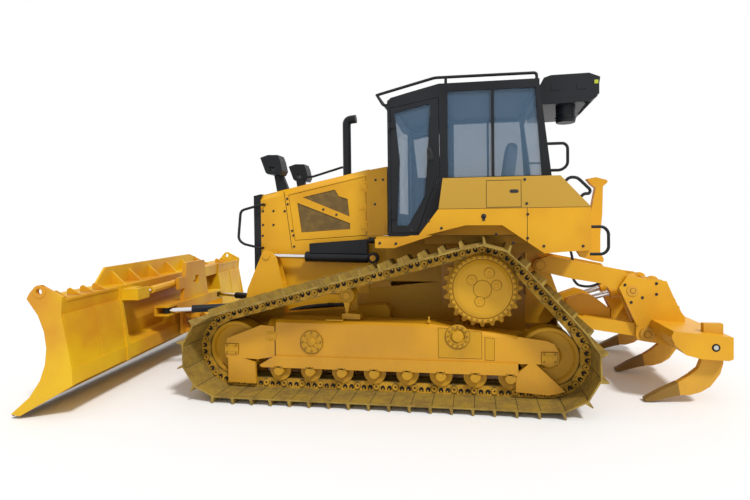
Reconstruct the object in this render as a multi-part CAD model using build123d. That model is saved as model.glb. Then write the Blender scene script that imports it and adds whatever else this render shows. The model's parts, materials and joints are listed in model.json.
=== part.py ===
"""A low-ground-pressure bulldozer with an elevated sprocket, a six-way blade and a three-shank ripper.

All sizes are in millimetres. The working frame has X forward from the sprocket axle, Y to the left and
Z up from the ground. At the end every solid moves by FRAME_SHIFT, which puts X = 0 at mid-length.
"""
import math
import os

from build123d import *

FRAME_SHIFT = -1183

# Running clearances
PIN_GAP = 0.5
SEAT_GAP = 0.3
SIDE_GAP = 8
DOOR_GAP = 6

# Door hinges
HINGE_PIN_R = 7
HINGE_R = 12
HINGE_OUT = 14
HINGE_LENGTH = 60

# Flats on round pieces that repeat
PIN_SIDES = 8
TUBE_SIDES = 6
HINGE_SIDES = 6
RAM_SIDES = 10
IDLER_SIDES = 16
WHEEL_SIDES = 20

# Undercarriage
TRACK_GAUGE = 2160
SHOE_WIDTH = 840
SHOE_COUNT = 46
SHOE_PLATE = 14
GROUSER_HEIGHT = 57
GROUSER_FOOT = 30
GROUSER_TIP = 12
LINK_BELOW_PIN = 47
LINK_ABOVE_PIN = 52
LINK_INNER_HALF = 48
LINK_OUTER_HALF = 92
IDLER_PITCH_R = 342
FRONT_IDLER_X = 2510
REAR_IDLER_X = -608
SPROCKET_PITCH_R = 367
SPROCKET_Z = 1097
SPROCKET_TEETH = 24
SPROCKET_WIDTH = 70
TOOTH_DEPTH = 62
DRIVE_COVER_R = 325
DRIVE_CAP_R = 250
DRIVE_CAP_STEP = 16
DRIVE_COVER_OUT = 165
DRIVE_DRUM_R = 285
CARRIER_X = 1333
CARRIER_R = 78
CARRIER_EAR = (98, 122)
ROLLER_R = 92
ROLLER_COUNT = 8
ROLLER_FIRST_X = 2020
ROLLER_LAST_X = -250
ROLLER_FLANGE = 18
FLANGE_WIDTH = 20
COLLAR_HALF = 45
PIN_HEIGHT = GROUSER_HEIGHT + SHOE_PLATE + LINK_BELOW_PIN
IDLER_Z = PIN_HEIGHT + IDLER_PITCH_R
LINK_PITCH = 190
IDLER_RIM_R = 240
IDLER_WEB_HALF = 62
IDLER_R = math.sqrt(IDLER_PITCH_R**2 - (LINK_PITCH / 2) ** 2) - LINK_ABOVE_PIN - 1
ROLLER_Z = PIN_HEIGHT + LINK_ABOVE_PIN + ROLLER_R
TRACK_CENTRE = TRACK_GAUGE / 2
TRACK_INNER = TRACK_CENTRE - SHOE_WIDTH / 2
BEAM_HALF = 150
BEAM_FRONT_X = 2046
BEAM_REAR_X = -320
BEAM_TOP_Z = 770
BEAM_REAR_TOP_Z = 655
BEAM_LOW_Z = 402
BEAM_BEVEL = 26
LEDGE_OUT = 20
LEDGE_LOW_Z = 294
LEDGE_TOP_Z = 410
YOKE_INNER = 128
GUARD_INNER = 118
GUIDE_LOW_Z = 118
RECOIL_R = 160
RECOIL_Z = 606
AXLE_R = 45

# Main frame and case
FRAME_HALF = 440
FRAME_LOW_Z = 450
FRAME_TOP_Z = 930
FRAME_FRONT_X = 2560
FRAME_REAR_X = -470
CASE_TOP_Z = 1500
CASE_FRONT_X = 520
CASE_REAR_X = -470
PIVOT_SHAFT_X = 236
PIVOT_SHAFT_Z = 647
PIVOT_SHAFT_R = 85
PIVOT_COVER_R = 112
BAR_X = 1750
BAR_LOW_Z = 296
BAR_TOP_Z = 400
BAR_HALF_LENGTH = 90
BAR_POST_HALF = 180

# Engine enclosure
HOOD_HALF = 450
SKIN = 20
HOOD_BEVEL = 66
HOOD_FRONT_X = 2553
HOOD_FRONT_Z = 2080
HOOD_KNEE_X = 2231
HOOD_KNEE_Z = 2150
HOOD_REAR_Z = 2350
COWL_FRONT_X = 1262
COWL_REAR_X = 1034
COWL_HALF = 480
COWL_TOP_Z = 2328
DOOR_FRONT_TOP_X = 2211
DOOR_FRONT_LOW_X = 2140
DOOR_FRONT_LOW_Z = 1538
DOOR_REAR_LOW_Z = 1590
DOOR_MESHES = (
    [(2038, 2041), (1650, 2122), (1603, 2045), (1500, 2012), (1480, 1810)],
    [(2105, 1980), (1475, 1733), (1475, 1665), (2058, 1632)],
)
GUARD_FRONT_X = 2640
GUARD_LOW_Z = 956
GUARD_TOP_Z = 2079
ENGINE_X = (1330, 2350)
ENGINE_HALF = 300
ENGINE_TOP_Z = 1900
ENGINE_HINGE_X = COWL_FRONT_X + 12
ENGINE_HINGES_Z = (1700, 2150)
STACK_X = 1620
STACK_R = 55
STACK_TOP_Z = 2950
STACK_BEND = 110
LAMP_Y = 430
LAMP_HALF = 90
LAMP_POST_X = (2377, 2243)
LAMP_POST_HALF = 30
LAMP_HEAD = [
    (2519, 2505),
    (2425, 2534),
    (2304, 2530),
    (2278, 2466),
    (2253, 2351),
    (2281, 2301),
    (2428, 2311),
    (2455, 2330),
]
LAMP_HOLE = [(2412, 2345), (2350, 2345), (2345, 2392), (2408, 2400)]

# Cab
CAB_HALF = 830
CAB_LOW_Z = 1590
CAB_WALL = 60
CAB_FRONT_X = 962
CAB_REAR_X = -697
CAB_TOP_REAR_X = -585
CAB_TOP_FRONT_Z = 2950
CAB_TOP_Z = 3106
CAB_SHOULDER_X = 719
PILLAR_TOP_X = 421
PILLAR_SILL_X = 413
SILL_Z = 2185
WINDOW_EDGE = 90
MULLION_X = -123
MULLION_HALF = 14
PANE = 8
GUARD_NOSE_X = 1081
ROOF_KNEE_X = 465
DOOR_LOW_X = 652
ROOF_THICKNESS = 50
ROOF_RAIL_Z = 3236
CAB_HINGE_X = CAB_FRONT_X - 22
CAB_HINGES_Z = (1800, 2750)

# Rear body, with its fenders over the tracks
FENDER_HALF = 1000
FENDER_TOP_Z = 2168
CREASE_Z = 1864
TANK_REAR_X = -1030
TANK_LOW_Z = 1446
TANK_TOP_X = -751
HANDLE = ((75, 0), (75, 60), (128, 108), (298, 114), (318, 80), (285, 50), (285, 0))
POST_Y = 300
POST_HALF = 50
POST_OUTLINE = [
    (-1142, 2184),
    (-1232, 2201),
    (-1351, 2166),
    (-1351, 2141),
    (-1305, 2099),
    (-1297, 1799),
    (-1277, 1587),
    (-1276, 1387),
    (-1311, 1318),
    (-1305, 1280),
    (-1198, 1299),
    (-1066, 1400),
    (-1175, 1412),
    (-1176, 1801),
    (-1231, 2088),
    (-1184, 2127),
]
AIRCON_TOP_Z = 3290
AIRCON_FRONT_LOW = 315
AIRCON_SHOULDER = 184
AIRCON_HALF = 480
FILTER_X = -925
FILTER_Y = 300
FILTER_R = 125
RAIL_R = 15
RAIL_Y = 520

# Lift linkage
TRUNNION_X = 1100
TRUNNION_Z = 720
TRUNNION_R = 60
ARM_INNER = 490
ARM_OUTER = 635
ARM_HEIGHT = 230
ARM_BEND_X = 2960
ARM_BEND_Z = 540
NECK_REAR_X = 2800
NECK_LOW_Z = 410
NECK_TOP_Z = 640
NOSE_X = 3560
NOSE_HALF = 80
NOSE_THICK = 60
LIFT_EYE_X = 2415
LIFT_EYE_Z = 1371
LIFT_BASE_X = 1181
LIFT_BASE_Z = 1342
LIFT_Y = 562
EAR = 24

# Blade and its mount
BALL_X = 3685
BALL_Z = 470
BLADE_ANGLE = 5.8
BLADE_TILT = -0.9
BLADE_HALF = 1990
END_PLATE = 30
MOULDBOARD = 28
EDGE_THICK = 30
BLADE_EYE_X = 4100
BLADE_EYE_Z = 1180
BLADE_EYE_R = 28
BACK_X = 3838
FOLD_U = 1215
GUARD_PLATE_Z = 1303
MOUNT_PIN_R = 45
MOUNT_R = 90
MOUNT_FRONT_X = 3812
CLEVIS = 55
YOKE_HALF = 740
YOKE_LOW_Z = 680
YOKE_TOP_Z = 800
TOWER_TOP_Z = 1264
TILT_PIN_R = 75
TILT_PIN_END_X = 3990
ANGLE_BASE_X = 2840
ANGLE_BASE_Y = 330
ANGLE_EYE_X = 3700
ANGLE_EYE_U = 670
ANGLE_Z = 740
TILT_X = 3765
TILT_BASE_U = 380
TILT_EYE_U = 1050
TILT_Z = 1020

# Ripper
LINK_Y = 450
LINK_HALF = 40
LINK_PIN_R = 32
LINK_BOSS_R = 70
RIPPER_RAM_Y = 200
RIPPER_ROD_PIN = (-1145, 856)
RIPPER_BARREL_PIN = (-1850, 1062)
UPPER_FRONT_X = -624
UPPER_FRONT_Z = 1260
UPPER_REAR_X = -1545
UPPER_REAR_Z = 1000
LOWER_REAR_X = -1692
LOWER_REAR_Z = 549
BEAM_SPAN = 2150
SHANK_SPACING = 940
SHANK_THICKNESS = 60
SHANK_BACK_X = -2199
SHANK_WIDTH = 168


def block(x, y, z):
    """A box from (low, high) pairs."""
    return Pos((x[0] + x[1]) / 2, (y[0] + y[1]) / 2, (z[0] + z[1]) / 2) * Box(
        x[1] - x[0], y[1] - y[0], z[1] - z[0]
    )


def prism_y(outline, y):
    """An outline of (x, z) points, extruded from y[0] to y[1]."""
    wire = Polyline([(px, y[0], pz) for px, pz in outline], close=True)
    return extrude(make_face(wire), amount=y[1] - y[0], dir=(0, 1, 0))


def prism_x(outline, x):
    """An outline of (y, z) points, extruded from x[0] to x[1]."""
    wire = Polyline([(x[0], py, pz) for py, pz in outline], close=True)
    return extrude(make_face(wire), amount=x[1] - x[0], dir=(1, 0, 0))


def prism_z(outline, z):
    """An outline of (x, y) points, extruded from z[0] to z[1]."""
    wire = Polyline([(px, py, z[0]) for px, py in outline], close=True)
    return extrude(make_face(wire), amount=z[1] - z[0], dir=(0, 0, 1))


def bar(start, end, radius, sides=0, hole=False):
    """A round bar between two points, or one with flats: inside the circle, or round it for a hole."""
    a, b = Vector(*start), Vector(*end)
    if sides:
        profile = RegularPolygon(radius, sides, major_radius=not hole, rotation=180 * hole / sides)
    else:
        profile = Circle(radius)
    return extrude(Plane(origin=a, z_dir=b - a) * profile, amount=(b - a).length)


def drum(x, z, radius, y, sides=0, hole=False):
    """A round bar along Y from y[0] to y[1]."""
    return bar((x, y[0], z), (x, y[1], z), radius, sides, hole)


def tube(points, radius):
    """A bar of six flats along straight legs with mitred corners."""
    start = Plane(origin=points[0], z_dir=Vector(*points[1]) - Vector(*points[0]))
    profile = start * RegularPolygon(radius, TUBE_SIDES)
    return sweep(profile, path=Polyline(*points), transition=Transition.RIGHT)


def hinge_fixed(x, y, z):
    """Two lugs on the fixed skin with the hinge pin between them."""
    pin = bar((x, y, z - HINGE_LENGTH), (x, y, z + HINGE_LENGTH), HINGE_PIN_R, HINGE_SIDES)
    for low in (z - HINGE_LENGTH, z + HINGE_LENGTH / 2 + 4):
        lug = (low, low + HINGE_LENGTH / 2 - 4)
        pin += block((x - HINGE_R, x + HINGE_R), (y - HINGE_OUT, y + HINGE_R), lug)
    return pin


def hinge_moving(x, y, z, ahead):
    """The door's knuckle round the pin, with its leaf on the door's outer face."""
    half = HINGE_LENGTH / 2
    knuckle = bar((x, y, z - half), (x, y, z + half), HINGE_R, HINGE_SIDES)
    knuckle += block(sorted((x, x + ahead * 60)), (y - HINGE_R + 2, y - 1), (z - half, z + half))
    knuckle += block(sorted((x + ahead * 30, x + ahead * 60)), (y - HINGE_OUT, y - 1), (z - half, z + half))
    return knuckle - bar((x, y, z - half - 1), (x, y, z + half + 1), HINGE_PIN_R + PIN_GAP, HINGE_SIDES, True)


def mirrored(solid):
    return mirror(solid, about=Plane.XZ)


def both(solid):
    """The solid and its mirror image on the other side."""
    return Compound([*solid.solids(), *mirrored(solid).solids()])


# Track path: pins run round the front idler, the sprocket and the rear idler
def tangent(c0, r0, c1, r1):
    """Ends of the outer tangent that keeps both circles on its left."""
    dx, dz = c1[0] - c0[0], c1[1] - c0[1]
    span = math.hypot(dx, dz)
    turn = math.atan2(dz, dx) - math.acos((r0 - r1) / span)
    nx, nz = math.cos(turn), math.sin(turn)
    return (c0[0] + r0 * nx, c0[1] + r0 * nz), (c1[0] + r1 * nx, c1[1] + r1 * nz)


WHEELS = (
    ((FRONT_IDLER_X, IDLER_Z), IDLER_PITCH_R),
    ((0, SPROCKET_Z), SPROCKET_PITCH_R),
    ((REAR_IDLER_X, IDLER_Z), IDLER_PITCH_R),
)


def track_runs():
    """Straight runs and arcs in turn, counter-clockwise as seen from the right."""
    lines = [tangent(*WHEELS[i], *WHEELS[(i + 1) % 3]) for i in range(3)]
    runs = []
    for i, (centre, radius) in enumerate(WHEELS):
        into, out = lines[i - 1][1], lines[i][0]
        a0 = math.atan2(into[1] - centre[1], into[0] - centre[0])
        a1 = math.atan2(out[1] - centre[1], out[0] - centre[0])
        sweep = (a1 - a0) % (2 * math.pi)
        runs.append(("arc", centre, radius, a0, sweep))
        runs.append(("line", *lines[i]))
    return runs


def run_length(run):
    return run[2] * run[4] if run[0] == "arc" else math.dist(run[1], run[2])


TRACK_LENGTH = sum(run_length(run) for run in track_runs())
SHOE_PITCH = TRACK_LENGTH / SHOE_COUNT


def track_point(distance):
    """Pin position and outward normal at a distance along the path."""
    distance %= TRACK_LENGTH
    for run in track_runs():
        length = run_length(run)
        if distance <= length:
            break
        distance -= length
    if run[0] == "arc":
        _, centre, radius, a0, _ = run
        angle = a0 + distance / radius
        normal = (math.cos(angle), math.sin(angle))
        return (centre[0] + radius * normal[0], centre[1] + radius * normal[1]), normal
    (x0, z0), (x1, z1) = run[1], run[2]
    share = distance / length
    normal = ((z1 - z0) / length, (x0 - x1) / length)
    return (x0 + (x1 - x0) * share, z0 + (z1 - z0) * share), normal


FIRST_GROUSER_X = 2562
BOTTOM_START = TRACK_LENGTH - (FRONT_IDLER_X - FIRST_GROUSER_X)


def track_pins():
    """Pins of the loop, one to each shoe."""
    return [track_point(BOTTOM_START + i * SHOE_PITCH)[0] for i in range(SHOE_COUNT)]


def offset_ring(pins, outward):
    """The pins' polygon moved outward, one corner to each pin."""
    ring = []
    count = len(pins)
    for i, (x, z) in enumerate(pins):
        (xa, za), (xb, zb) = pins[i - 1], pins[(i + 1) % count]
        first = math.atan2(z - za, x - xa)
        second = math.atan2(zb - z, xb - x)
        half = ((second - first + math.pi) % (2 * math.pi) - math.pi) / 2
        mid = first + half
        reach = outward / math.cos(half)
        ring.append((x + reach * math.sin(mid), z - reach * math.cos(mid)))
    return ring


def make_track(side):
    """One fixed loop: shoe plates with their grousers, and the two rails of links."""
    pins = track_pins()
    inner = offset_ring(pins, LINK_BELOW_PIN)
    plate = offset_ring(pins, LINK_BELOW_PIN + SHOE_PLATE)
    tip = offset_ring(pins, LINK_BELOW_PIN + SHOE_PLATE + GROUSER_HEIGHT)
    outline = []
    for i, (x, z) in enumerate(plate):
        nx, nz = tip[i][0] - x, tip[i][1] - z
        reach = math.hypot(nx, nz)
        nx, nz = nx / reach, nz / reach
        ahead = plate[(i + 1) % SHOE_COUNT]
        span = math.dist(ahead, (x, z))
        ux, uz = (ahead[0] - x) / span, (ahead[1] - z) / span
        tx, tz = -nz, nx
        high = (x + nx * GROUSER_HEIGHT, z + nz * GROUSER_HEIGHT)
        outline += [
            (x, z),
            (high[0], high[1]),
            (high[0] + tx * GROUSER_TIP, high[1] + tz * GROUSER_TIP),
            (x + ux * GROUSER_FOOT, z + uz * GROUSER_FOOT),
        ]
    low, high = TRACK_CENTRE - SHOE_WIDTH / 2, TRACK_CENTRE + SHOE_WIDTH / 2
    shoes = prism_y(outline, (low, high)) - prism_y(inner, (low - 1, high + 1))
    rail_out = offset_ring(pins, LINK_BELOW_PIN + SHOE_PLATE / 2)
    rail_in = offset_ring(pins, -LINK_ABOVE_PIN)
    rails = []
    for a, b in ((-LINK_OUTER_HALF, -LINK_INNER_HALF), (LINK_INNER_HALF, LINK_OUTER_HALF)):
        span = (TRACK_CENTRE + a, TRACK_CENTRE + b)
        rails.append(prism_y(rail_out, span) - prism_y(rail_in, (span[0] - 1, span[1] + 1)))
    track = shoes + rails
    return track if side > 0 else mirrored(track)


def make_sprockets():
    """Toothed rims with the stepped final-drive covers on their outer faces."""
    pitch_angle = 2 * math.pi / SPROCKET_TEETH
    outline = []
    for i in range(SPROCKET_TEETH):
        for share, radius in (
            (-0.5, SPROCKET_PITCH_R - TOOTH_DEPTH / 2),
            (-0.14, SPROCKET_PITCH_R + TOOTH_DEPTH / 2 - 18),
            (0.14, SPROCKET_PITCH_R + TOOTH_DEPTH / 2 - 18),
        ):
            angle = (i + share) * pitch_angle
            outline.append((radius * math.cos(angle), SPROCKET_Z + radius * math.sin(angle)))
    half = SPROCKET_WIDTH / 2
    rim = prism_y(outline, (TRACK_CENTRE - half, TRACK_CENTRE + half))
    cover_y = TRACK_CENTRE + LINK_OUTER_HALF + SIDE_GAP
    ring_y = TRACK_CENTRE + DRIVE_COVER_OUT - DRIVE_CAP_STEP
    cover = drum(0, SPROCKET_Z, DRIVE_COVER_R, (cover_y, ring_y), WHEEL_SIDES)
    cover = chamfer(cover.edges().group_by(Axis.Y)[-1], DRIVE_CAP_STEP)
    cap = drum(0, SPROCKET_Z, DRIVE_CAP_R, (ring_y - 5, TRACK_CENTRE + DRIVE_COVER_OUT), WHEEL_SIDES)
    housing = drum(0, SPROCKET_Z, DRIVE_DRUM_R, (FRAME_HALF + SEAT_GAP, cover_y), WHEEL_SIDES)
    return both(rim + cover + cap + housing)


def top_run_z(x):
    """Height of the pin line on the top run."""
    (x0, z0), (x1, z1) = tangent(*WHEELS[0], *WHEELS[1])
    return z0 + (z1 - z0) * (x - x0) / (x1 - x0)


def top_run_lean():
    (x0, z0), (x1, z1) = tangent(*WHEELS[0], *WHEELS[1])
    return math.atan2(z1 - z0, x0 - x1)


CARRIER_Z = top_run_z(CARRIER_X) - (LINK_ABOVE_PIN + CARRIER_R + SEAT_GAP) / math.cos(top_run_lean())


def make_rollers():
    """Idlers, bottom rollers and the carrier roller of both sides."""
    pieces = [make_idler(x) for x in (FRONT_IDLER_X, REAR_IDLER_X)]
    pieces += [make_bottom_roller(x) for x in roller_places()]
    c = TRACK_CENTRE
    carrier = drum(CARRIER_X, CARRIER_Z, CARRIER_R, (c - LINK_OUTER_HALF, c + LINK_OUTER_HALF), RAM_SIDES)
    carrier += drum(CARRIER_X, CARRIER_Z, AXLE_R - 10 - SEAT_GAP, (c - CARRIER_EAR[1], c), PIN_SIDES, True)
    pieces.append(carrier)
    return Compound([s for p in pieces for s in both(p).solids()])


def roller_places():
    """X of each bottom roller."""
    step = (ROLLER_LAST_X - ROLLER_FIRST_X) / (ROLLER_COUNT - 1)
    return [ROLLER_FIRST_X + step * i for i in range(ROLLER_COUNT)]


def make_bottom_roller(x):
    """A roller with its flange outside the outer rail and end collars bolted up under the frame's ledges."""
    c = TRACK_CENTRE
    flange = LINK_OUTER_HALF + SIDE_GAP / 2
    tread = (c - flange - FLANGE_WIDTH, c + flange + 1)
    body = drum(x, ROLLER_Z, ROLLER_R - SEAT_GAP * 3, tread, PIN_SIDES, True)
    body += drum(x, ROLLER_Z, ROLLER_R + ROLLER_FLANGE, (c + flange, c + flange + FLANGE_WIDTH), PIN_SIDES)
    for sign in (-1, 1):
        collar = sorted((c + sign * (flange + FLANGE_WIDTH), c + sign * (BEAM_HALF + LEDGE_OUT)))
        tall = (ROLLER_Z - COLLAR_HALF, LEDGE_LOW_Z - SEAT_GAP)
        body += block((x - COLLAR_HALF, x + COLLAR_HALF), collar, tall)
    return body


def make_idler(x):
    """An idler with its outer face set back between rim and hub, held by the yokes at the hub's ends."""
    c = TRACK_CENTRE
    hub = YOKE_INNER - SEAT_GAP
    wheel = drum(x, IDLER_Z, IDLER_R, (c - LINK_OUTER_HALF, c + LINK_OUTER_HALF), IDLER_SIDES)
    wheel -= drum(x, IDLER_Z, IDLER_RIM_R, (c + IDLER_WEB_HALF, c + LINK_OUTER_HALF + 1), IDLER_SIDES)
    return wheel + drum(x, IDLER_Z, AXLE_R + 30, (c - hub, c + hub), PIN_SIDES)


def make_track_frames():
    """Box beams with ledges over the rollers, recoil housings, idler yokes, guards and carrier pedestals."""
    c = TRACK_CENTRE
    beam = prism_y(
        [
            (BEAM_REAR_X, BEAM_LOW_Z),
            (BEAM_FRONT_X, BEAM_LOW_Z),
            (BEAM_FRONT_X, BEAM_TOP_Z),
            (497, BEAM_TOP_Z - 16),
            (98, BEAM_TOP_Z - 67),
            (BEAM_REAR_X, BEAM_REAR_TOP_Z),
        ],
        (c - BEAM_HALF, c + BEAM_HALF),
    )
    top = beam.edges().filter_by(
        lambda e: e.center().Z > BEAM_REAR_TOP_Z + 5 and abs(e.tangent_at(0.5).X) > 0.5
    )
    beam = chamfer(top, BEAM_BEVEL)
    beam += bar((BEAM_FRONT_X - 5, c, RECOIL_Z), (BEAM_FRONT_X + 100, c, RECOIL_Z), RECOIL_R, IDLER_SIDES)
    yoke_front = [
        (FRONT_IDLER_X + 62, IDLER_Z + 112),
        (FRONT_IDLER_X - 300, IDLER_Z + 252),
        (BEAM_FRONT_X - 10, IDLER_Z + 245),
        (BEAM_FRONT_X - 10, BEAM_LOW_Z),
        (FRONT_IDLER_X - 256, BEAM_LOW_Z - 36),
        (FRONT_IDLER_X - 60, IDLER_Z - 85),
        (FRONT_IDLER_X + 78, IDLER_Z - 85),
        (FRONT_IDLER_X + 78, IDLER_Z + 52),
    ]
    yoke_rear = [
        (BEAM_REAR_X + 5, BEAM_LOW_Z),
        (BEAM_REAR_X + 5, BEAM_REAR_TOP_Z),
        (REAR_IDLER_X + 27, IDLER_Z + 161),
        (REAR_IDLER_X - 40, IDLER_Z + 134),
        (REAR_IDLER_X - 78, IDLER_Z + 60),
        (REAR_IDLER_X - 78, IDLER_Z - 50),
        (REAR_IDLER_X + 150, IDLER_Z - 58),
    ]
    ledge = [
        (BEAM_REAR_X, LEDGE_LOW_Z),
        (BEAM_REAR_X, LEDGE_TOP_Z),
        (BEAM_FRONT_X + 10, LEDGE_TOP_Z),
        (BEAM_FRONT_X + 175, LEDGE_LOW_Z + 20),
        (BEAM_FRONT_X + 150, LEDGE_LOW_Z),
    ]
    for sign in (-1, 1):
        plate = sorted((c + sign * YOKE_INNER, c + sign * BEAM_HALF))
        side = prism_y(yoke_front, plate) + prism_y(yoke_rear, plate)
        side += prism_y(ledge, sorted((c + sign * YOKE_INNER, c + sign * (BEAM_HALF + LEDGE_OUT))))
        guard = sorted((c + sign * GUARD_INNER, c + sign * BEAM_HALF))
        side += prism_y(
            [
                (FRONT_IDLER_X - 90, IDLER_Z - 80),
                (FRONT_IDLER_X - 235, LEDGE_LOW_Z + 40),
                (FRONT_IDLER_X - 242, GUIDE_LOW_Z),
                (FRONT_IDLER_X + 56, GUIDE_LOW_Z + 8),
                (FRONT_IDLER_X + 56, IDLER_Z - 80),
            ],
            guard,
        )
        side += prism_y(
            [
                (BEAM_REAR_X + 20, LEDGE_LOW_Z + 5),
                (BEAM_REAR_X - 130, BEAM_LOW_Z + 30),
                (REAR_IDLER_X - 136, GUIDE_LOW_Z + 40),
                (REAR_IDLER_X + 8, GUIDE_LOW_Z),
                (BEAM_REAR_X + 20, GUIDE_LOW_Z + 20),
            ],
            guard,
        )
        beam += side
    cover = (c + BEAM_HALF - 5, c + BEAM_HALF + 12)
    beam += drum(PIVOT_SHAFT_X, PIVOT_SHAFT_Z, PIVOT_COVER_R, cover, IDLER_SIDES)
    ears = [
        (CARRIER_X - 80, BEAM_TOP_Z - 60),
        (CARRIER_X - 50, CARRIER_Z + 50),
        (CARRIER_X + 50, CARRIER_Z + 50),
        (CARRIER_X + 80, BEAM_TOP_Z - 60),
    ]
    ear = prism_y(ears, (c - CARRIER_EAR[1], c - CARRIER_EAR[0]))
    ear -= drum(CARRIER_X, CARRIER_Z, AXLE_R - 10, (c - 200, c), PIN_SIDES, True)
    return both(beam + ear)


def make_main_frame():
    """Frame rails as one case, the drive case, the pivot shaft and the cross bar."""
    body = block((FRAME_REAR_X, FRAME_FRONT_X), (-FRAME_HALF, FRAME_HALF), (FRAME_LOW_Z, FRAME_TOP_Z))
    body += block((CASE_REAR_X, CASE_FRONT_X), (-FRAME_HALF, FRAME_HALF), (FRAME_TOP_Z - 5, CASE_TOP_Z))
    inner_face = TRACK_CENTRE - BEAM_HALF - LEDGE_OUT - SEAT_GAP
    shaft_end = TRACK_CENTRE - BEAM_HALF - SEAT_GAP
    body += drum(PIVOT_SHAFT_X, PIVOT_SHAFT_Z, PIVOT_SHAFT_R, (-shaft_end, shaft_end), PIN_SIDES)
    body += block(
        (BAR_X - BAR_HALF_LENGTH, BAR_X + BAR_HALF_LENGTH), (-inner_face, inner_face), (BAR_LOW_Z, BAR_TOP_Z)
    )
    post = (BAR_X - BAR_HALF_LENGTH, BAR_X + BAR_HALF_LENGTH)
    body += block(post, (-BAR_POST_HALF, BAR_POST_HALF), (BAR_LOW_Z, FRAME_LOW_Z + 5))
    for sign in (-1, 1):
        y = sorted((sign * (FRAME_HALF - 5), sign * (ARM_OUTER - 30)))
        body += drum(TRUNNION_X, TRUNNION_Z, TRUNNION_R, y, PIN_SIDES)
        post = sorted((sign * (FRAME_HALF - 60), sign * FRAME_HALF))
        body += prism_y(
            [
                (LIFT_BASE_X - 190, FRAME_TOP_Z - 5),
                (LIFT_BASE_X - 90, LIFT_BASE_Z + 95),
                (COWL_FRONT_X - 5, LIFT_BASE_Z + 95),
                (COWL_FRONT_X - 5, FRAME_TOP_Z - 5),
            ],
            post,
        )
        pin = sorted((sign * (FRAME_HALF - 5), sign * (LIFT_Y + 45)))
        body += drum(LIFT_BASE_X, LIFT_BASE_Z, LIFT_RAM["pin_r"], pin, PIN_SIDES)
    return body


def make_engine():
    return block(ENGINE_X, (-ENGINE_HALF, ENGINE_HALF), (FRAME_TOP_Z + SEAT_GAP, ENGINE_TOP_Z))


def make_radiator_guard():
    outline = [
        (HOOD_FRONT_X, GUARD_LOW_Z),
        (GUARD_FRONT_X, GUARD_LOW_Z),
        (GUARD_FRONT_X, GUARD_TOP_Z - 12),
        (HOOD_FRONT_X, GUARD_TOP_Z + 8),
    ]
    outer = prism_y(outline, (-HOOD_HALF, HOOD_HALF))
    return outer - block(
        (HOOD_FRONT_X - 1, GUARD_FRONT_X + 1),
        (-HOOD_HALF + 70, HOOD_HALF - 70),
        (GUARD_LOW_Z + 90, GUARD_TOP_Z - 70),
    )


def make_grille():
    """Louvre bars across the radiator opening."""
    half = HOOD_HALF - 70 - SEAT_GAP
    low, high = GUARD_LOW_Z + 90 + SEAT_GAP, GUARD_TOP_Z - 70 - SEAT_GAP
    pieces = [block((HOOD_FRONT_X + 10, HOOD_FRONT_X + 22), (-half, half), (low, high))]
    count = 14
    for i in range(count):
        z = low + 30 + (high - low - 60) * i / (count - 1)
        pieces.append(block((HOOD_FRONT_X + 20, HOOD_FRONT_X + 60), (-half, half), (z - 9, z + 9)))
    grille = pieces[0]
    for piece in pieces[1:]:
        grille += piece
    return grille


def hood_top_z(x):
    if x >= HOOD_KNEE_X:
        return HOOD_FRONT_Z + (HOOD_KNEE_Z - HOOD_FRONT_Z) * (HOOD_FRONT_X - x) / (HOOD_FRONT_X - HOOD_KNEE_X)
    return HOOD_KNEE_Z + (HOOD_REAR_Z - HOOD_KNEE_Z) * (HOOD_KNEE_X - x) / (HOOD_KNEE_X - COWL_FRONT_X)


def hood_ridge(prism, bevel):
    """The hood's prism with both long top edges bevelled."""
    top = prism.edges().filter_by(
        lambda e: abs(e.tangent_at(0.5).Y) < 0.1 and e.center().Z > HOOD_FRONT_Z - SKIN * 2
    )
    return chamfer(top.filter_by(lambda e: abs(e.tangent_at(0.5).X) > 0.5), bevel)


def make_hood():
    """Sloping top skin with bevelled shoulders and the fixed side panels ahead of and below the doors."""
    outline = [
        (HOOD_FRONT_X, GUARD_LOW_Z),
        (HOOD_FRONT_X, HOOD_FRONT_Z),
        (HOOD_KNEE_X, HOOD_KNEE_Z),
        (COWL_FRONT_X, HOOD_REAR_Z),
        (COWL_FRONT_X, FRAME_TOP_Z + SEAT_GAP),
        (HOOD_FRONT_X - 300, FRAME_TOP_Z + SEAT_GAP),
    ]
    shell = hood_ridge(prism_y(outline, (-HOOD_HALF, HOOD_HALF)), HOOD_BEVEL)
    inside = [
        (HOOD_FRONT_X + 1, GUARD_LOW_Z - 50),
        (HOOD_FRONT_X + 1, HOOD_FRONT_Z - SKIN),
        (HOOD_KNEE_X, HOOD_KNEE_Z - SKIN),
        (COWL_FRONT_X - 1, HOOD_REAR_Z - SKIN),
        (COWL_FRONT_X - 1, FRAME_TOP_Z),
        (HOOD_FRONT_X - 300, FRAME_TOP_Z),
    ]
    shell -= hood_ridge(prism_y(inside, (-HOOD_HALF + SKIN, HOOD_HALF - SKIN)), HOOD_BEVEL - SKIN * 0.6)
    shell -= prism_y(door_outline(0), (-HOOD_HALF - 1, HOOD_HALF + 1))
    for z in ENGINE_HINGES_Z:
        lugs = hinge_fixed(ENGINE_HINGE_X, HOOD_HALF + HINGE_OUT, z)
        shell += lugs + mirrored(lugs)
    return shell


def door_outline(inset):
    """Engine door outline, drawn in from its opening."""
    top_gap = HOOD_BEVEL + 18
    return [
        (DOOR_FRONT_LOW_X - inset, DOOR_FRONT_LOW_Z + inset),
        (DOOR_FRONT_TOP_X - inset, hood_top_z(DOOR_FRONT_TOP_X) - top_gap - inset),
        (COWL_FRONT_X + 20 + inset, hood_top_z(COWL_FRONT_X) - top_gap - inset),
        (COWL_FRONT_X + 20 + inset, DOOR_REAR_LOW_Z + inset),
    ]


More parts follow.
